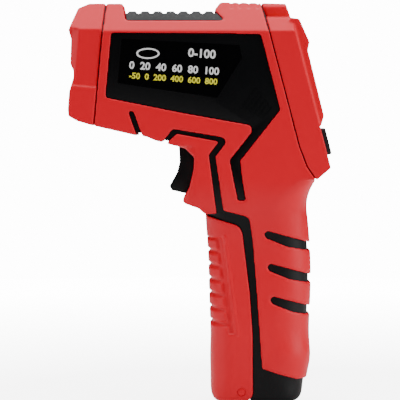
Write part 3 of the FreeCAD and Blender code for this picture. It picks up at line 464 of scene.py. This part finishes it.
@dataclass(frozen=True)
class CellFinish(Finish):
    """A wrapped battery cell: a dark sleeve, a warm band at one end and bare steel ends."""

    band: Colour = (0.55, 0.22, 0.05)
    band_height: float = 46 * MM

    def paint(self, sheet: Sheet, colour: bpy.types.NodeSocket) -> bpy.types.NodeSocket:
        """Adds the band and the bare ends.

        Args:
            sheet: the material's sheet.
            colour: the colour so far.

        Returns:
            The colour with it.
        """
        place = sheet.node("ShaderNodeTexCoord", {}).outputs["Object"]
        height = sheet.node("ShaderNodeSeparateXYZ", {0: place}).outputs[2]
        normal = sheet.node("ShaderNodeNewGeometry", {}).outputs["Normal"]
        end = sheet.math("ABSOLUTE", sheet.node("ShaderNodeSeparateXYZ", {0: normal}).outputs[2])
        colour = sheet.mix(sheet.math("GREATER_THAN", height, self.band_height), colour, rgba(self.band))
        return sheet.mix(sheet.math("GREATER_THAN", end, 0.7), colour, (0.6, 0.6, 0.58, 1.0))


@dataclass(frozen=True)
class ClearFinish(Finish):
    """Clear moulded plastic or glass with faint wipe marks."""

    index: float = 1.49

    def make(self) -> bpy.types.Material:
        """Makes the clear material.

        Returns:
            The material, which lets light through.
        """
        material = Finish.make(self)
        shader = material.node_tree.nodes["Principled BSDF"]
        shader.inputs["Transmission Weight"].default_value = 1.0
        shader.inputs["IOR"].default_value = self.index
        return material


@dataclass(frozen=True)
class LensFinish(Finish):
    """A coated infrared lens with a painted reflection: the coating's purple sheen is mixed into its colour at a
    grazing view.
    """

    # rim: the painted reflection colour of the coating's sheen
    rim: Colour = (0.30, 0.10, 0.38)

    def paint(self, sheet: Sheet, colour: bpy.types.NodeSocket) -> bpy.types.NodeSocket:
        """Paints the coating's reflection: tints the lens towards its rim colour at a grazing view.

        Args:
            sheet: the material's sheet.
            colour: the colour so far.

        Returns:
            The colour with it.
        """
        # painted reflection: the coating's purple sheen, stronger as the view grazes the lens
        facing = sheet.node("ShaderNodeLayerWeight", {"Blend": 0.35}).outputs["Facing"]
        return sheet.mix(facing, colour, rgba(self.rim))


RED, RED_SHADE = (0.74, 0.0004, 0.016), (0.70, 0.0003, 0.013)
BLACK, BLACK_SHADE = (0.0022, 0.0022, 0.0026), (0.0014, 0.0014, 0.0017)


class Skin(Enum):
    """The finishes of the thermometer."""

    COVER = Finish("red_cover_plastic", RED, RED_SHADE, 0.38, specular=0.24)
    CASING = Finish("red_casing_plastic", RED, RED_SHADE, 0.40, grain=2200.0, specular=0.24)
    CORE = Finish("black_core_plastic", BLACK, BLACK_SHADE, 0.44, grain=2400.0, depth=0.02 * MM, specular=0.18)
    PANEL = Finish("black_side_panel", BLACK, BLACK_SHADE, 0.33, grain=3000.0, depth=0.008 * MM, dust=0.01,
                   specular=0.15)
    FILM = Finish("gloss_label_film", (0.0012, 0.0012, 0.0014), (0.0008, 0.0008, 0.001), 0.16,
                  depth=0.001 * MM, dust=0.0, scuff=0.03, specular=0.12)
    TRIGGER = Finish("black_trigger_plastic", (0.003, 0.003, 0.0035), BLACK_SHADE, 0.34, depth=0.01 * MM, specular=0.2)
    RUBBER = Finish("grey_rubber", (0.016, 0.017, 0.019), (0.010, 0.011, 0.012), 0.62, grain=1800.0,
                    depth=0.03 * MM, dust=0.08)
    KEY = Finish("key_rubber", (0.012, 0.012, 0.013), (0.009, 0.009, 0.010), 0.50, depth=0.02 * MM)
    BARREL = Finish("barrel_black", (0.012, 0.012, 0.013), (0.008, 0.008, 0.009), 0.38, metal=0.0, grain=3400.0)
    # the lens's rim colour is a painted reflection of its coating
    LENS = LensFinish("coated_lens", (0.030, 0.022, 0.045), (0.024, 0.018, 0.036), 0.10, depth=0.0005 * MM,
                      coat=0.6, dust=0.0)
    CLEAR = ClearFinish("clear_window", (0.97, 0.97, 0.97), (0.95, 0.95, 0.95), 0.06, depth=0.0005 * MM, dust=0.0,
                        scuff=0.02)
    DISPLAY = Finish("display_glass", (0.50, 0.55, 0.42), (0.45, 0.50, 0.38), 0.30, depth=0.001 * MM, coat=0.3)
    SEGMENT = Finish("display_segments", (0.012, 0.013, 0.012), (0.009, 0.01, 0.009), 0.45, depth=0.001 * MM)
    WHITE = Finish("white_plastic", (0.78, 0.77, 0.73), (0.72, 0.71, 0.67), 0.48)
    BOARD = BoardFinish("circuit_board", (0.010, 0.095, 0.030), (0.008, 0.075, 0.024), 0.34, depth=0.01 * MM)
    CHIP = Finish("chip_resin", (0.020, 0.020, 0.022), (0.014, 0.014, 0.015), 0.52, depth=0.015 * MM)
    BRASS = Finish("turned_brass", (0.66, 0.44, 0.16), (0.58, 0.38, 0.13), 0.28, metal=1.0, grain=1500.0,
                   depth=0.004 * MM)
    STEEL = Finish("plated_steel", (0.58, 0.58, 0.57), (0.48, 0.48, 0.47), 0.26, metal=1.0, grain=1500.0,
                   depth=0.004 * MM, scuff=0.3)
    CELL = CellFinish("cell_sleeve", (0.020, 0.022, 0.030), (0.015, 0.017, 0.024), 0.28, depth=0.002 * MM, coat=0.4)
    WHITE_INK = Finish("white_ink", (0.80, 0.80, 0.80), (0.70, 0.70, 0.70), 0.45, depth=0.002 * MM)
    YELLOW_INK = Finish("yellow_ink", (0.78, 0.72, 0.05), (0.70, 0.64, 0.04), 0.45, depth=0.002 * MM)

    @property
    def material(self) -> bpy.types.Material:
        """The finish as a material, made once."""
        return bpy.data.materials.get(self.value.title) or self.value.make()


# --------------------------------------------------------------------------------------------
# Moulded pieces
# --------------------------------------------------------------------------------------------
@dataclass
class Moulding:
    """A moulded shell: the CAD node's shape with every edge softened as the tool leaves it."""

    node: str
    skin: Skin
    slot: str
    body: str = "body"
    voxel: float = 0.5 * MM
    soften: int = 4
    shape: Optional[Callable[[np.ndarray, np.ndarray], np.ndarray]] = None
    most_triangles: int = 180_000

    def build(self) -> bpy.types.Object:
        """Builds the shell and dresses it.

        Returns:
            The shell.
        """
        piece = copy_of(self.node, self.node + "_skin", 0.0)
        modify(piece, "REMESH", mode="VOXEL", voxel_size=self.voxel)
        modify(piece, "SMOOTH", factor=0.5, iterations=self.soften)
        if self.shape:
            press(piece, self.shape)
            modify(piece, "SMOOTH", factor=0.4, iterations=2)
        triangles = 2 * len(piece.data.polygons)
        if triangles > self.most_triangles:
            modify(piece, "DECIMATE", ratio=self.most_triangles / triangles)
        smooth(piece, 60.0)
        fit(piece, self.body, self.skin.material, [self.node])
        return piece


@dataclass
class Bevelled:
    """A CAD node's shape with its sharp edges rounded over."""

    node: str
    skin: Skin
    slot: str
    width: float
    body: str = "body"
    segments: int = 4
    angle: float = 28.0

    def build(self) -> bpy.types.Object:
        """Builds the piece and dresses it.

        Returns:
            The piece.
        """
        piece = copy_of(self.node, self.node + "_skin")
        modify(piece, "BEVEL", width=self.width, segments=self.segments, limit_method="ANGLE",
               angle_limit=math.radians(self.angle), use_clamp_overlap=True)
        smooth(piece, 40.0)
        fit(piece, self.body, self.skin.material, [self.node])
        return piece


@dataclass
class Casing:
    """The outer mouldings: head, nose ring, display housing, trigger covers and the black core."""

    groove_places: tuple[float, ...] = (-11.6 * MM, -8.2 * MM, -4.3 * MM, -0.4 * MM)
    groove_width: float = 0.55 * MM
    groove_depth: float = 0.5 * MM
    groove_foot: float = 166.6 * MM

    def hood(self, points: np.ndarray, normals: np.ndarray) -> np.ndarray:
        """The depth of the four short grooves across the sighting hood.

        Args:
            points: the cover's points.
            normals: their outward directions.

        Returns:
            Each point's depth.
        """
        deep = np.zeros(len(points))
        for place in self.groove_places:
            deep += np.exp(-((points[:, 0] - place) / self.groove_width) ** 2)
        outer = ramp(normals[:, 2], -0.1, 0.3)
        return self.groove_depth * deep * outer * ramp(points[:, 2], self.groove_foot, self.groove_foot + 1 * MM)

    def build(self) -> None:
        """Builds the casing's pieces."""
        for side in ("left", "right"):
            Moulding(f"{side}_red_cover", Skin.COVER, "cover", soften=8, shape=self.hood).build()
            Moulding(f"{side}_trigger_cover", Skin.COVER, "cover", voxel=0.4 * MM, soften=8).build()
        Moulding("nose_ring", Skin.CASING, "casing", voxel=0.45 * MM).build()
        Moulding("rear_bezel", Skin.CASING, "casing", voxel=0.45 * MM).build()
        Bevelled("top_grip_strip", Skin.RUBBER, "rubber_trim", 0.55 * MM).build()
        Bevelled("front_face_plate", Skin.CORE, "core", 0.3 * MM, segments=3).build()


@dataclass
class GripDoor:
    """The battery door, which is the front of the grip, with its ribbed finger window."""

    frame_foot: tuple[float, float] = (-10.2 * MM, 30.3 * MM)
    frame_head: tuple[float, float] = (-14.9 * MM, 66.5 * MM)
    window: tuple[float, float] = (29.2 * MM, 70.6 * MM)
    first_notch: float = 33.2 * MM
    pitch: float = 6.12 * MM
    slope: float = 0.12
    depth: float = 1.0 * MM
    rim: float = 0.6 * MM
    lip: float = 0.45 * MM
    lip_set: float = 1.0 * MM
    plug_radius: float = 1.58 * MM

    def ribs(self, points: np.ndarray, normals: np.ndarray) -> np.ndarray:
        """The depth of the finger window: sunk all over, with ribs that come back up.

        Args:
            points: the door's points.
            normals: their outward directions.

        Returns:
            Each point's depth.
        """
        x, y, z = points.T
        lean = (self.frame_head[0] - self.frame_foot[0]) / (self.frame_head[1] - self.frame_foot[1])
        edge = self.frame_foot[0] + lean * (z - self.frame_foot[1])
        inside = ramp(edge - x, 0.0, self.rim) * ramp(z, self.window[0], self.window[0] + self.rim)
        inside *= ramp(self.window[1] - z, 0.0, self.rim)
        place = (z + self.slope * (x - edge) - self.first_notch) / self.pitch
        away = np.abs(place - np.round(place)) * self.pitch
        rib = ramp(away, 0.35 * MM, 1.5 * MM) * ramp(edge - x, 2.2 * MM, 3.2 * MM)
        outer = ramp(normals[:, 0] * (x + 4 * MM) / (20 * MM) + normals[:, 1] * y / (20 * MM), 0.0, 0.15)
        raised = self.lip * np.exp(-((edge + self.lip_set - x) / self.rim) ** 2)
        raised *= ramp(z, self.window[0] - 1 * MM, self.window[0]) * ramp(self.window[1] - z, -1 * MM, 0.0)
        return outer * (self.depth * inside * (1.0 - rib) - raised)

    def build(self) -> None:
        """Builds the door and the plugs that close its hinge bore."""
        Moulding("battery_door", Skin.CASING, "casing", "door", voxel=0.4 * MM, shape=self.ribs).build()
        low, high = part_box("door_hinge_pin")
        x, z = (low[0] + high[0]) / 2, (low[2] + high[2]) / 2
        skin = points_of(frame["nodes"]["battery_door"])
        near = skin[np.hypot(skin[:, 0] - x, skin[:, 2] - z) < 2.6 * MM]
        face = float(np.abs(near[:, 1]).max()) - 0.25 * MM
        plugs = []
        for way in (-1, 1):
            bpy.ops.object.select_all(action="DESELECT")
            bpy.ops.mesh.primitive_cylinder_add(vertices=48, radius=self.plug_radius, depth=face - high[1],
                                                location=(x, way * (face + high[1]) / 2, z),
                                                rotation=(math.pi / 2, 0, 0))
            plugs.append(modify(freeze(bpy.context.object), "BEVEL", width=0.2 * MM, segments=3,
                                limit_method="ANGLE"))
        fit(smooth(join(plugs, "door_hinge_plugs")), "door", Skin.CASING.material)


@dataclass
class SidePanel:
    """One black side panel with its gloss film, plain print and diagonal ridges."""

    side: int
    face: float = 22.5 * MM
    film: float = 0.06 * MM
    ink: float = 0.02 * MM
    lean: float = math.radians(4.2)
    print_middle: float = -35.2
    mark_height: float = 147.8
    outline: tuple[tuple[float, float], ...] = ((-57.7, 154.0), (-8.4, 151.3), (-7.3, 145.8), (-17.7, 129.3),
                                                (-59.4, 135.4))

    @property
    def word(self) -> str:
        """The side's name."""
        return "left" if self.side < 0 else "right"

    def plate(self, spots: Sequence[tuple[float, float]], thick: float, name: str) -> bpy.types.Object:
        """A thin plate on the panel's face.

        Args:
            spots: its corners as X and Z in millimetres.
            thick: how far it stands off the face.
            name: the object's name.

        Returns:
            The plate.
        """
        bpy.ops.object.select_all(action="DESELECT")
        bpy.ops.mesh.primitive_circle_add(vertices=len(spots), radius=1 * MM, fill_type="NGON")
        piece = bpy.context.object
        piece.name = piece.data.name = name
        for vertex, (x, z) in zip(piece.data.vertices, spots):
            vertex.co = (x * MM, self.side * (self.face - 0.02 * MM), z * MM)
        piece.data.update()
        only(piece)
        bpy.ops.object.mode_set(mode="EDIT")
        bpy.ops.mesh.select_all(action="SELECT")
        bpy.ops.mesh.extrude_region_move(TRANSFORM_OT_translate={"value": (0, self.side * (thick + 0.02 * MM), 0)})
        bpy.ops.mesh.select_all(action="SELECT")
        bpy.ops.mesh.normals_make_consistent(inside=False)
        bpy.ops.object.mode_set(mode="OBJECT")
        return piece

    def text(self, words: str, x: float, z: float, size: float, skin: Skin, name: str,
             weight: float = 0.0) -> bpy.types.Object:
        """Plain numerals printed on the film.

        Args:
            words: the numerals.
            x: their middle, in millimetres.
            z: their foot, in millimetres.
            size: their height setting, in millimetres.
            skin: the ink.
            name: the object's name.
            weight: how much the strokes are thickened.

        Returns:
            The print as a mesh.
        """
        bpy.ops.object.select_all(action="DESELECT")
        bpy.ops.object.text_add()
        piece = bpy.context.object
        piece.data.body, piece.data.size, piece.data.align_x = words, size * MM, "CENTER"
        piece.data.extrude, piece.data.offset, piece.data.resolution_u = self.ink / 2, weight * MM, 3
        only(piece)
        bpy.ops.object.convert(target="MESH")
        piece = bpy.context.object
        turn = Matrix.Rotation(math.pi if self.side > 0 else 0.0, 4, "Z") @ Matrix.Rotation(math.pi / 2, 4, "X")
        turn = turn @ Matrix.Rotation(self.side * self.lean, 4, "Z")
        place = Vector((x * MM, self.side * (self.face + self.film + self.ink / 2), z * MM))
        settle(piece, Matrix.Translation(place) @ turn)
        piece.name = piece.data.name = name
        fit(piece, "body", skin.material)
        return piece

    def build(self) -> None:
        """Builds the panel and what is on it."""
        Bevelled(f"{self.word}_side_panel", Skin.PANEL, "panel", 0.25 * MM, segments=3).build()
        film = self.plate(self.outline, self.film, f"{self.word}_label_film")
        fit(film, "body", Skin.FILM.material)
        flip, middle, height = -self.side, self.print_middle, self.mark_height
        self.text("0-100", middle + flip * 11.0, 146.1, 5.0, Skin.WHITE_INK, f"{self.word}_figure", 0.14)
        ring = [(middle - flip * 11.5 + 4.9 * math.cos(a), height + 2.3 * math.sin(a))
                for a in (k * math.tau / 40 for k in range(40))]
        mark = self.plate(ring, self.film + self.ink, f"{self.word}_mark")
        fit(mark, "body", Skin.WHITE_INK.material)
        core = self.plate([(x + (middle - flip * 11.5 - x) * 0.16, z + (height - z) * 0.3) for x, z in ring],
                          self.film + 2 * self.ink, f"{self.word}_mark_core")
        fit(core, "body", Skin.FILM.material)
        self.text("0  20  40  60  80  100", middle - flip * 0.6, 140.2, 4.3, Skin.WHITE_INK,
                  f"{self.word}_scale_numbers", 0.13)
        self.text("-50  0  200  400  600  800", middle - flip * 1.0, 136.1, 3.5, Skin.YELLOW_INK,
                  f"{self.word}_heat_numbers", 0.1)
        ridges = []
        for index in range(6):
            x, z = -4.6 + 1.5 * index, 129.4 - 1.2 * index
            run = 5.2 - 0.45 * index
            ridges.append(self.plate([(x - run * 0.62, z - run * 0.78), (x - run * 0.62 + 0.7, z - run * 0.78 - 0.5),
                                      (x + run * 0.62 + 0.7, z + run * 0.78 - 0.5), (x + run * 0.62, z + run * 0.78)],
                                     0.15 * MM, f"{self.word}_ridge_{index}"))
        ridge = join(ridges, f"{self.word}_panel_ridges")
        fit(ridge, "body", Skin.PANEL.material)


# --------------------------------------------------------------------------------------------
# Trigger, display and keys
# --------------------------------------------------------------------------------------------
def coil(name: str, start: Point, length: float, radius: float, wire: float, turns: float,
         axis: str) -> bpy.types.Object:
    """A wound spring along X or Z with closed wire ends.

    Args:
        name: the object's name.
        start: the middle of its first end.
        length: how long it is.
        radius: from its axis to the middle of the wire.
        wire: the wire's radius.
        turns: the number of turns.
        axis: X or Z.

    Returns:
        The spring.
    """
    bpy.ops.object.select_all(action="DESELECT")
    turn = (0.0, 0.0, 0.0) if axis == "X" else (math.pi / 2, 0.0, 0.0)
    spot = (0.0, radius, 0.0) if axis == "X" else (radius, 0.0, 0.0)
    bpy.ops.mesh.primitive_circle_add(vertices=10, radius=wire, location=spot, rotation=turn)
    piece = freeze(bpy.context.object)
    piece.name = piece.data.name = name
    pitch = (length - 2 * wire) / turns
    modify(piece, "SCREW", axis=axis, angle=math.tau, screw_offset=pitch, iterations=int(turns), steps=20,
           render_steps=20, use_merge_vertices=False, use_normal_calculate=True)
    only(piece)
    bpy.ops.object.mode_set(mode="EDIT")
    bpy.ops.mesh.select_all(action="SELECT")
    bpy.ops.mesh.fill_holes(sides=12)
    bpy.ops.mesh.select_all(action="SELECT")
    bpy.ops.mesh.normals_make_consistent(inside=False)
    bpy.ops.object.mode_set(mode="OBJECT")
    along = Vector((1, 0, 0)) if axis == "X" else Vector((0, 0, 1))
    return settle(piece, Matrix.Translation(Vector(start) + along * wire))


@dataclass
class TriggerGroup:
    """The trigger blade and its return spring."""

    spring_turns: int = 6
    spring_wire: float = 0.28 * MM
    keep: float = 0.70

    def build(self) -> None:
        """Builds the blade and the spring."""
        Bevelled("trigger", Skin.TRIGGER, "trigger_plastic", 1.3 * MM, "trigger_blade", segments=5).build()
        low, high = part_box("trigger_spring")
        radius = (high[2] - low[2]) / 2 - self.spring_wire
        start = (low[0], (low[1] + high[1]) / 2, (low[2] + high[2]) / 2)
        spring = smooth(coil("trigger_spring_coil", start, high[0] - low[0], radius, self.spring_wire,
                             self.spring_turns, "X"), 50.0)
        fit(spring, "body", Skin.STEEL.material, ["trigger_spring"])
        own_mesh(spring)


@dataclass
class RearFace:
    """The tilted display and keys: an upright grid of its own, out of the housing's back."""

    digit: tuple[float, float] = (4.6 * MM, 9.4 * MM)
    stroke: float = 0.95 * MM
    number: str = "888"
    gap: float = 0.02 * MM
    out: Vector = field(default_factory=lambda: -Vector(
        next(joint["axis"] for joint in frame["joints"] if joint["name"] == "middle_key_press")))

    def matrix(self, node: str) -> Matrix:
        """The place of a node's outer face: right, up and out, from its middle.

        Args:
            node: the CAD node.

        Returns:
            The matrix that carries a flat drawing onto the face.
        """
        right, out = Vector((0, 1, 0)), self.out.normalized()
        up = out.cross(right)
        spots = [vertex.co for vertex in frame["nodes"][node].data.vertices]
        spans = [(min(s.dot(way) for s in spots), max(s.dot(way) for s in spots)) for way in (right, up, out)]
        middle = right * sum(spans[0]) / 2 + up * sum(spans[1]) / 2 + out * spans[2][1]
        return Matrix.Translation(middle) @ Matrix((right, up, out)).transposed().to_4x4()

    def bar(self, x: float, y: float, wide: float, tall: float, thick: float = 0.03 * MM) -> bpy.types.Object:
        """A flat bar with pointed or cut corners for a segment or a symbol.

        Args:
            x: the middle, to the right.
            y: the middle, upwards.
            wide: its width.
            tall: its height.
            thick: its thickness.

        Returns:
            The bar, in the flat drawing.
        """
        bpy.ops.object.select_all(action="DESELECT")
        bpy.ops.mesh.primitive_cube_add(size=1.0, location=(x, y, self.gap + thick / 2), scale=(wide, tall, thick))
        piece = freeze(bpy.context.object)
        modify(piece, "BEVEL", affect="EDGES", width=min(wide, tall) * 0.35, segments=1, limit_method="ANGLE",
               use_clamp_overlap=True)
        return piece

    def digits(self) -> bpy.types.Object:
        """Three seven-segment figures, a point, a row of small bars and a unit mark.

        Returns:
            The segments, in the flat drawing.
        """
        wide, tall = self.digit
        parts = []
        for index in range(len(self.number)):
            x = (index - 1) * 8.2 * MM - 1.5 * MM
            for level in (-1, 0, 1):
                parts.append(self.bar(x, level * tall / 2 - 1 * MM, wide - self.stroke, self.stroke))
            for across in (-1, 1):
                for level in (-1, 1):
                    parts.append(self.bar(x + across * wide / 2, level * tall / 4 - 1 * MM, self.stroke,
                                          tall / 2 - self.stroke))
        parts.append(self.bar(4.6 * MM, -tall / 2 - 1 * MM, 1.0 * MM, 1.0 * MM))
        for index in range(5):
            parts.append(self.bar((-10 + 4.4 * index) * MM, 8.6 * MM, 2.8 * MM, 0.8 * MM))
        parts.append(self.bar(12.6 * MM, 1.6 * MM, 1.6 * MM, 1.6 * MM))
        return join(parts, "display_segments")

    def symbol(self, key: str, kind: int) -> bpy.types.Object:
        """A plain raised symbol on a key: an arrow up, a ring or an arrow down.

        Args:
            key: the key's CAD node.
            kind: 1 for an arrow up, 0 for a ring and -1 for an arrow down.

        Returns:
            The symbol in its place.
        """
        bpy.ops.object.select_all(action="DESELECT")
        if kind:
            bpy.ops.mesh.primitive_cylinder_add(vertices=3, radius=1.9 * MM, depth=0.16 * MM,
                                                rotation=(0, 0, 0 if kind > 0 else math.pi))
        else:
            bpy.ops.mesh.primitive_torus_add(major_radius=1.7 * MM, minor_radius=0.22 * MM, major_segments=40,
                                             minor_segments=10)
        piece = freeze(bpy.context.object)
        if kind:
            modify(piece, "BEVEL", width=0.05 * MM, segments=2, limit_method="ANGLE")
        piece.name = piece.data.name = key + "_symbol"
        return settle(piece, self.matrix(key))

    def build(self) -> None:
        """Builds the segments, the keys and their symbols."""
        segments = settle(self.digits(), self.matrix("lcd_glass"))
        fit(segments, "body", Skin.SEGMENT.material)
        for word, kind in (("left", -1), ("middle", 0), ("right", 1)):
            Bevelled(f"key_{word}", Skin.KEY, "rubber_trim", 0.45 * MM, f"{word}_key").build()
            fit(smooth(self.symbol(f"key_{word}", kind)), f"{word}_key", Skin.WHITE_INK.material)


# --------------------------------------------------------------------------------------------
# Carried-over CAD nodes
# --------------------------------------------------------------------------------------------
CARRIED: dict[Skin, tuple[str, ...]] = {
    Skin.CORE: ("left_core_shell", "right_core_shell", "battery_tray"),
    Skin.BARREL: ("lens_barrel", "lens_retainer"),
    Skin.LENS: ("ir_lens",),
    Skin.BRASS: ("sensor_holder", "laser_module"),
    Skin.CLEAR: ("laser_window", "display_window"),
    Skin.DISPLAY: ("lcd_glass",),
    Skin.WHITE: ("backlight_diffuser", "key_mat", "switch_plunger"),
    Skin.BOARD: ("sensor_board", "main_board", "switch_board"),
    Skin.CHIP: ("board_chips", "buzzer", "trigger_switch"),
    Skin.KEY: ("zebra_connector",),
    Skin.STEEL: ("thermopile_sensor", "board_screws", "trigger_pivot_pin", "door_hinge_pin", "battery_springs",
                 "battery_contacts", "case_screws"),
    Skin.CELL: ("battery_cell_left", "battery_cell_right"),
}


def dress_carried() -> None:
    """Gives every carried-over CAD node its finish."""
    for skin, nodes in CARRIED.items():
        for node in nodes:
            for slot in frame["nodes"][node].material_slots:
                slot.material = skin.material
            LOG.info("%s: finish %s", node, skin.value.name)


# --------------------------------------------------------------------------------------------
# Stage
# --------------------------------------------------------------------------------------------
@dataclass
class Stage:
    """The pale floor, the soft light and the camera."""

    middle: Point = (-24.9 * MM, 0.0, 85.6 * MM)
    distance: float = 0.95
    elevation: float = 2.0
    width: float = 0.172
    softbox: float = 1.1
    softbox_height: float = 0.78
    softbox_power: float = 14.0
    surround: float = 0.04
    backdrop: float = 14.0
    side_power: float = 4.2
    side_size: float = 0.55

    def world(self) -> None:
        """A white surround for the camera and a dim one for the light that it gives."""
        world = bpy.data.worlds.new("studio")
        bpy.context.scene.world = world
        world.use_nodes = True
        sheet = Sheet(world.node_tree)
        seen = sheet.node("ShaderNodeLightPath", {}).outputs["Is Camera Ray"]
        strength = sheet.node("ShaderNodeMapRange", {0: seen, 3: self.surround, 4: self.backdrop}).outputs[0]
        back = world.node_tree.nodes["Background"]
        back.inputs["Color"].default_value = (1.0, 1.0, 1.0, 1.0)
        world.node_tree.links.new(strength, back.inputs["Strength"])

    def floor(self) -> None:
        """A round pale floor that fades into the surround."""
        bpy.ops.object.select_all(action="DESELECT")
        bpy.ops.mesh.primitive_circle_add(vertices=96, radius=0.75, fill_type="NGON", location=(0, 0, -0.0003))
        piece = freeze(bpy.context.object)
        piece.name = "floor"
        material = bpy.data.materials.new("pale_floor")
        material.use_nodes = True
        sheet = Sheet(material.node_tree)
        shader = material.node_tree.nodes["Principled BSDF"]
        place = sheet.node("ShaderNodeTexCoord", {}).outputs["Object"]
        cloud = sheet.node("ShaderNodeTexNoise", {"Vector": place, "Scale": 6.0}).outputs[0]
        away = sheet.node("ShaderNodeVectorMath", {0: place}, operation="LENGTH").outputs["Value"]
        fade = sheet.node("ShaderNodeMapRange", {0: away, 1: 0.12, 2: 0.6}).outputs[0]
        seen = sheet.node("ShaderNodeLightPath", {}).outputs["Is Camera Ray"]
        glow = sheet.math("MULTIPLY", sheet.math("MULTIPLY_ADD", fade, self.backdrop * 0.6, self.backdrop * 0.4), seen)
        material.node_tree.links.new(sheet.mix(cloud, (0.86, 0.86, 0.86, 1), (0.82, 0.82, 0.82, 1)),
                                     shader.inputs["Base Color"])
        material.node_tree.links.new(glow, shader.inputs["Emission Strength"])
        shader.inputs["Emission Color"].default_value = (1, 1, 1, 1)
        shader.inputs["Roughness"].default_value = 0.9
        shader.inputs["Specular IOR Level"].default_value = 0.1
        piece.data.materials.append(material)

    def lights(self) -> None:
        """One broad softbox overhead and a smaller one at each end."""
        bpy.ops.object.select_all(action="DESELECT")
        bpy.ops.object.light_add(type="AREA", location=(self.middle[0], 0.0, self.softbox_height))
        lamp = bpy.context.object
        lamp.name = "softbox"
        lamp.data.shape, lamp.data.size = "SQUARE", self.softbox
        lamp.data.energy = self.softbox_power
        for way, share in ((1, 1.0), (-1, 0.55)):
            spot = Vector((self.middle[0] + way * 0.75, -0.22, 0.26))
            turn = (Vector(self.middle) - spot).to_track_quat("-Z", "Y").to_euler()
            bpy.ops.object.light_add(type="AREA", location=spot, rotation=turn)
            lamp = bpy.context.object
            lamp.name = "side_box_rear" if way > 0 else "side_box_nose"
            lamp.data.shape, lamp.data.size = "SQUARE", self.side_size
            lamp.data.energy = self.side_power * share

    def camera(self) -> None:
        """The camera, level with the middle of the object and a little above it."""
        lift = math.radians(self.elevation)
        middle = Vector(self.middle)
        spot = middle + Vector((0.0, -math.cos(lift), math.sin(lift))) * self.distance
        bpy.ops.object.select_all(action="DESELECT")
        bpy.ops.object.camera_add(location=spot, rotation=(math.pi / 2 - lift, 0.0, 0.0))
        camera = bpy.context.object
        camera.name = "camera"
        camera.data.sensor_width = 36.0
        camera.data.lens = 36.0 * self.distance / self.width
        camera.data.clip_start = 0.01
        bpy.context.scene.camera = camera

    def build(self) -> None:
        """Sets the stage."""
        self.world()
        self.floor()
        self.lights()
        self.camera()


def main() -> None:
    """Builds the thermometer in order and reports each piece."""
    logging.basicConfig(level=logging.INFO, format="%(name)s: %(message)s")
    Stage().build()
    dress_carried()
    Casing().build()
    GripDoor().build()
    for side in (-1, 1):
        SidePanel(side).build()
    TriggerGroup().build()
    RearFace().build()


if __name__ == "__main__":
    main()
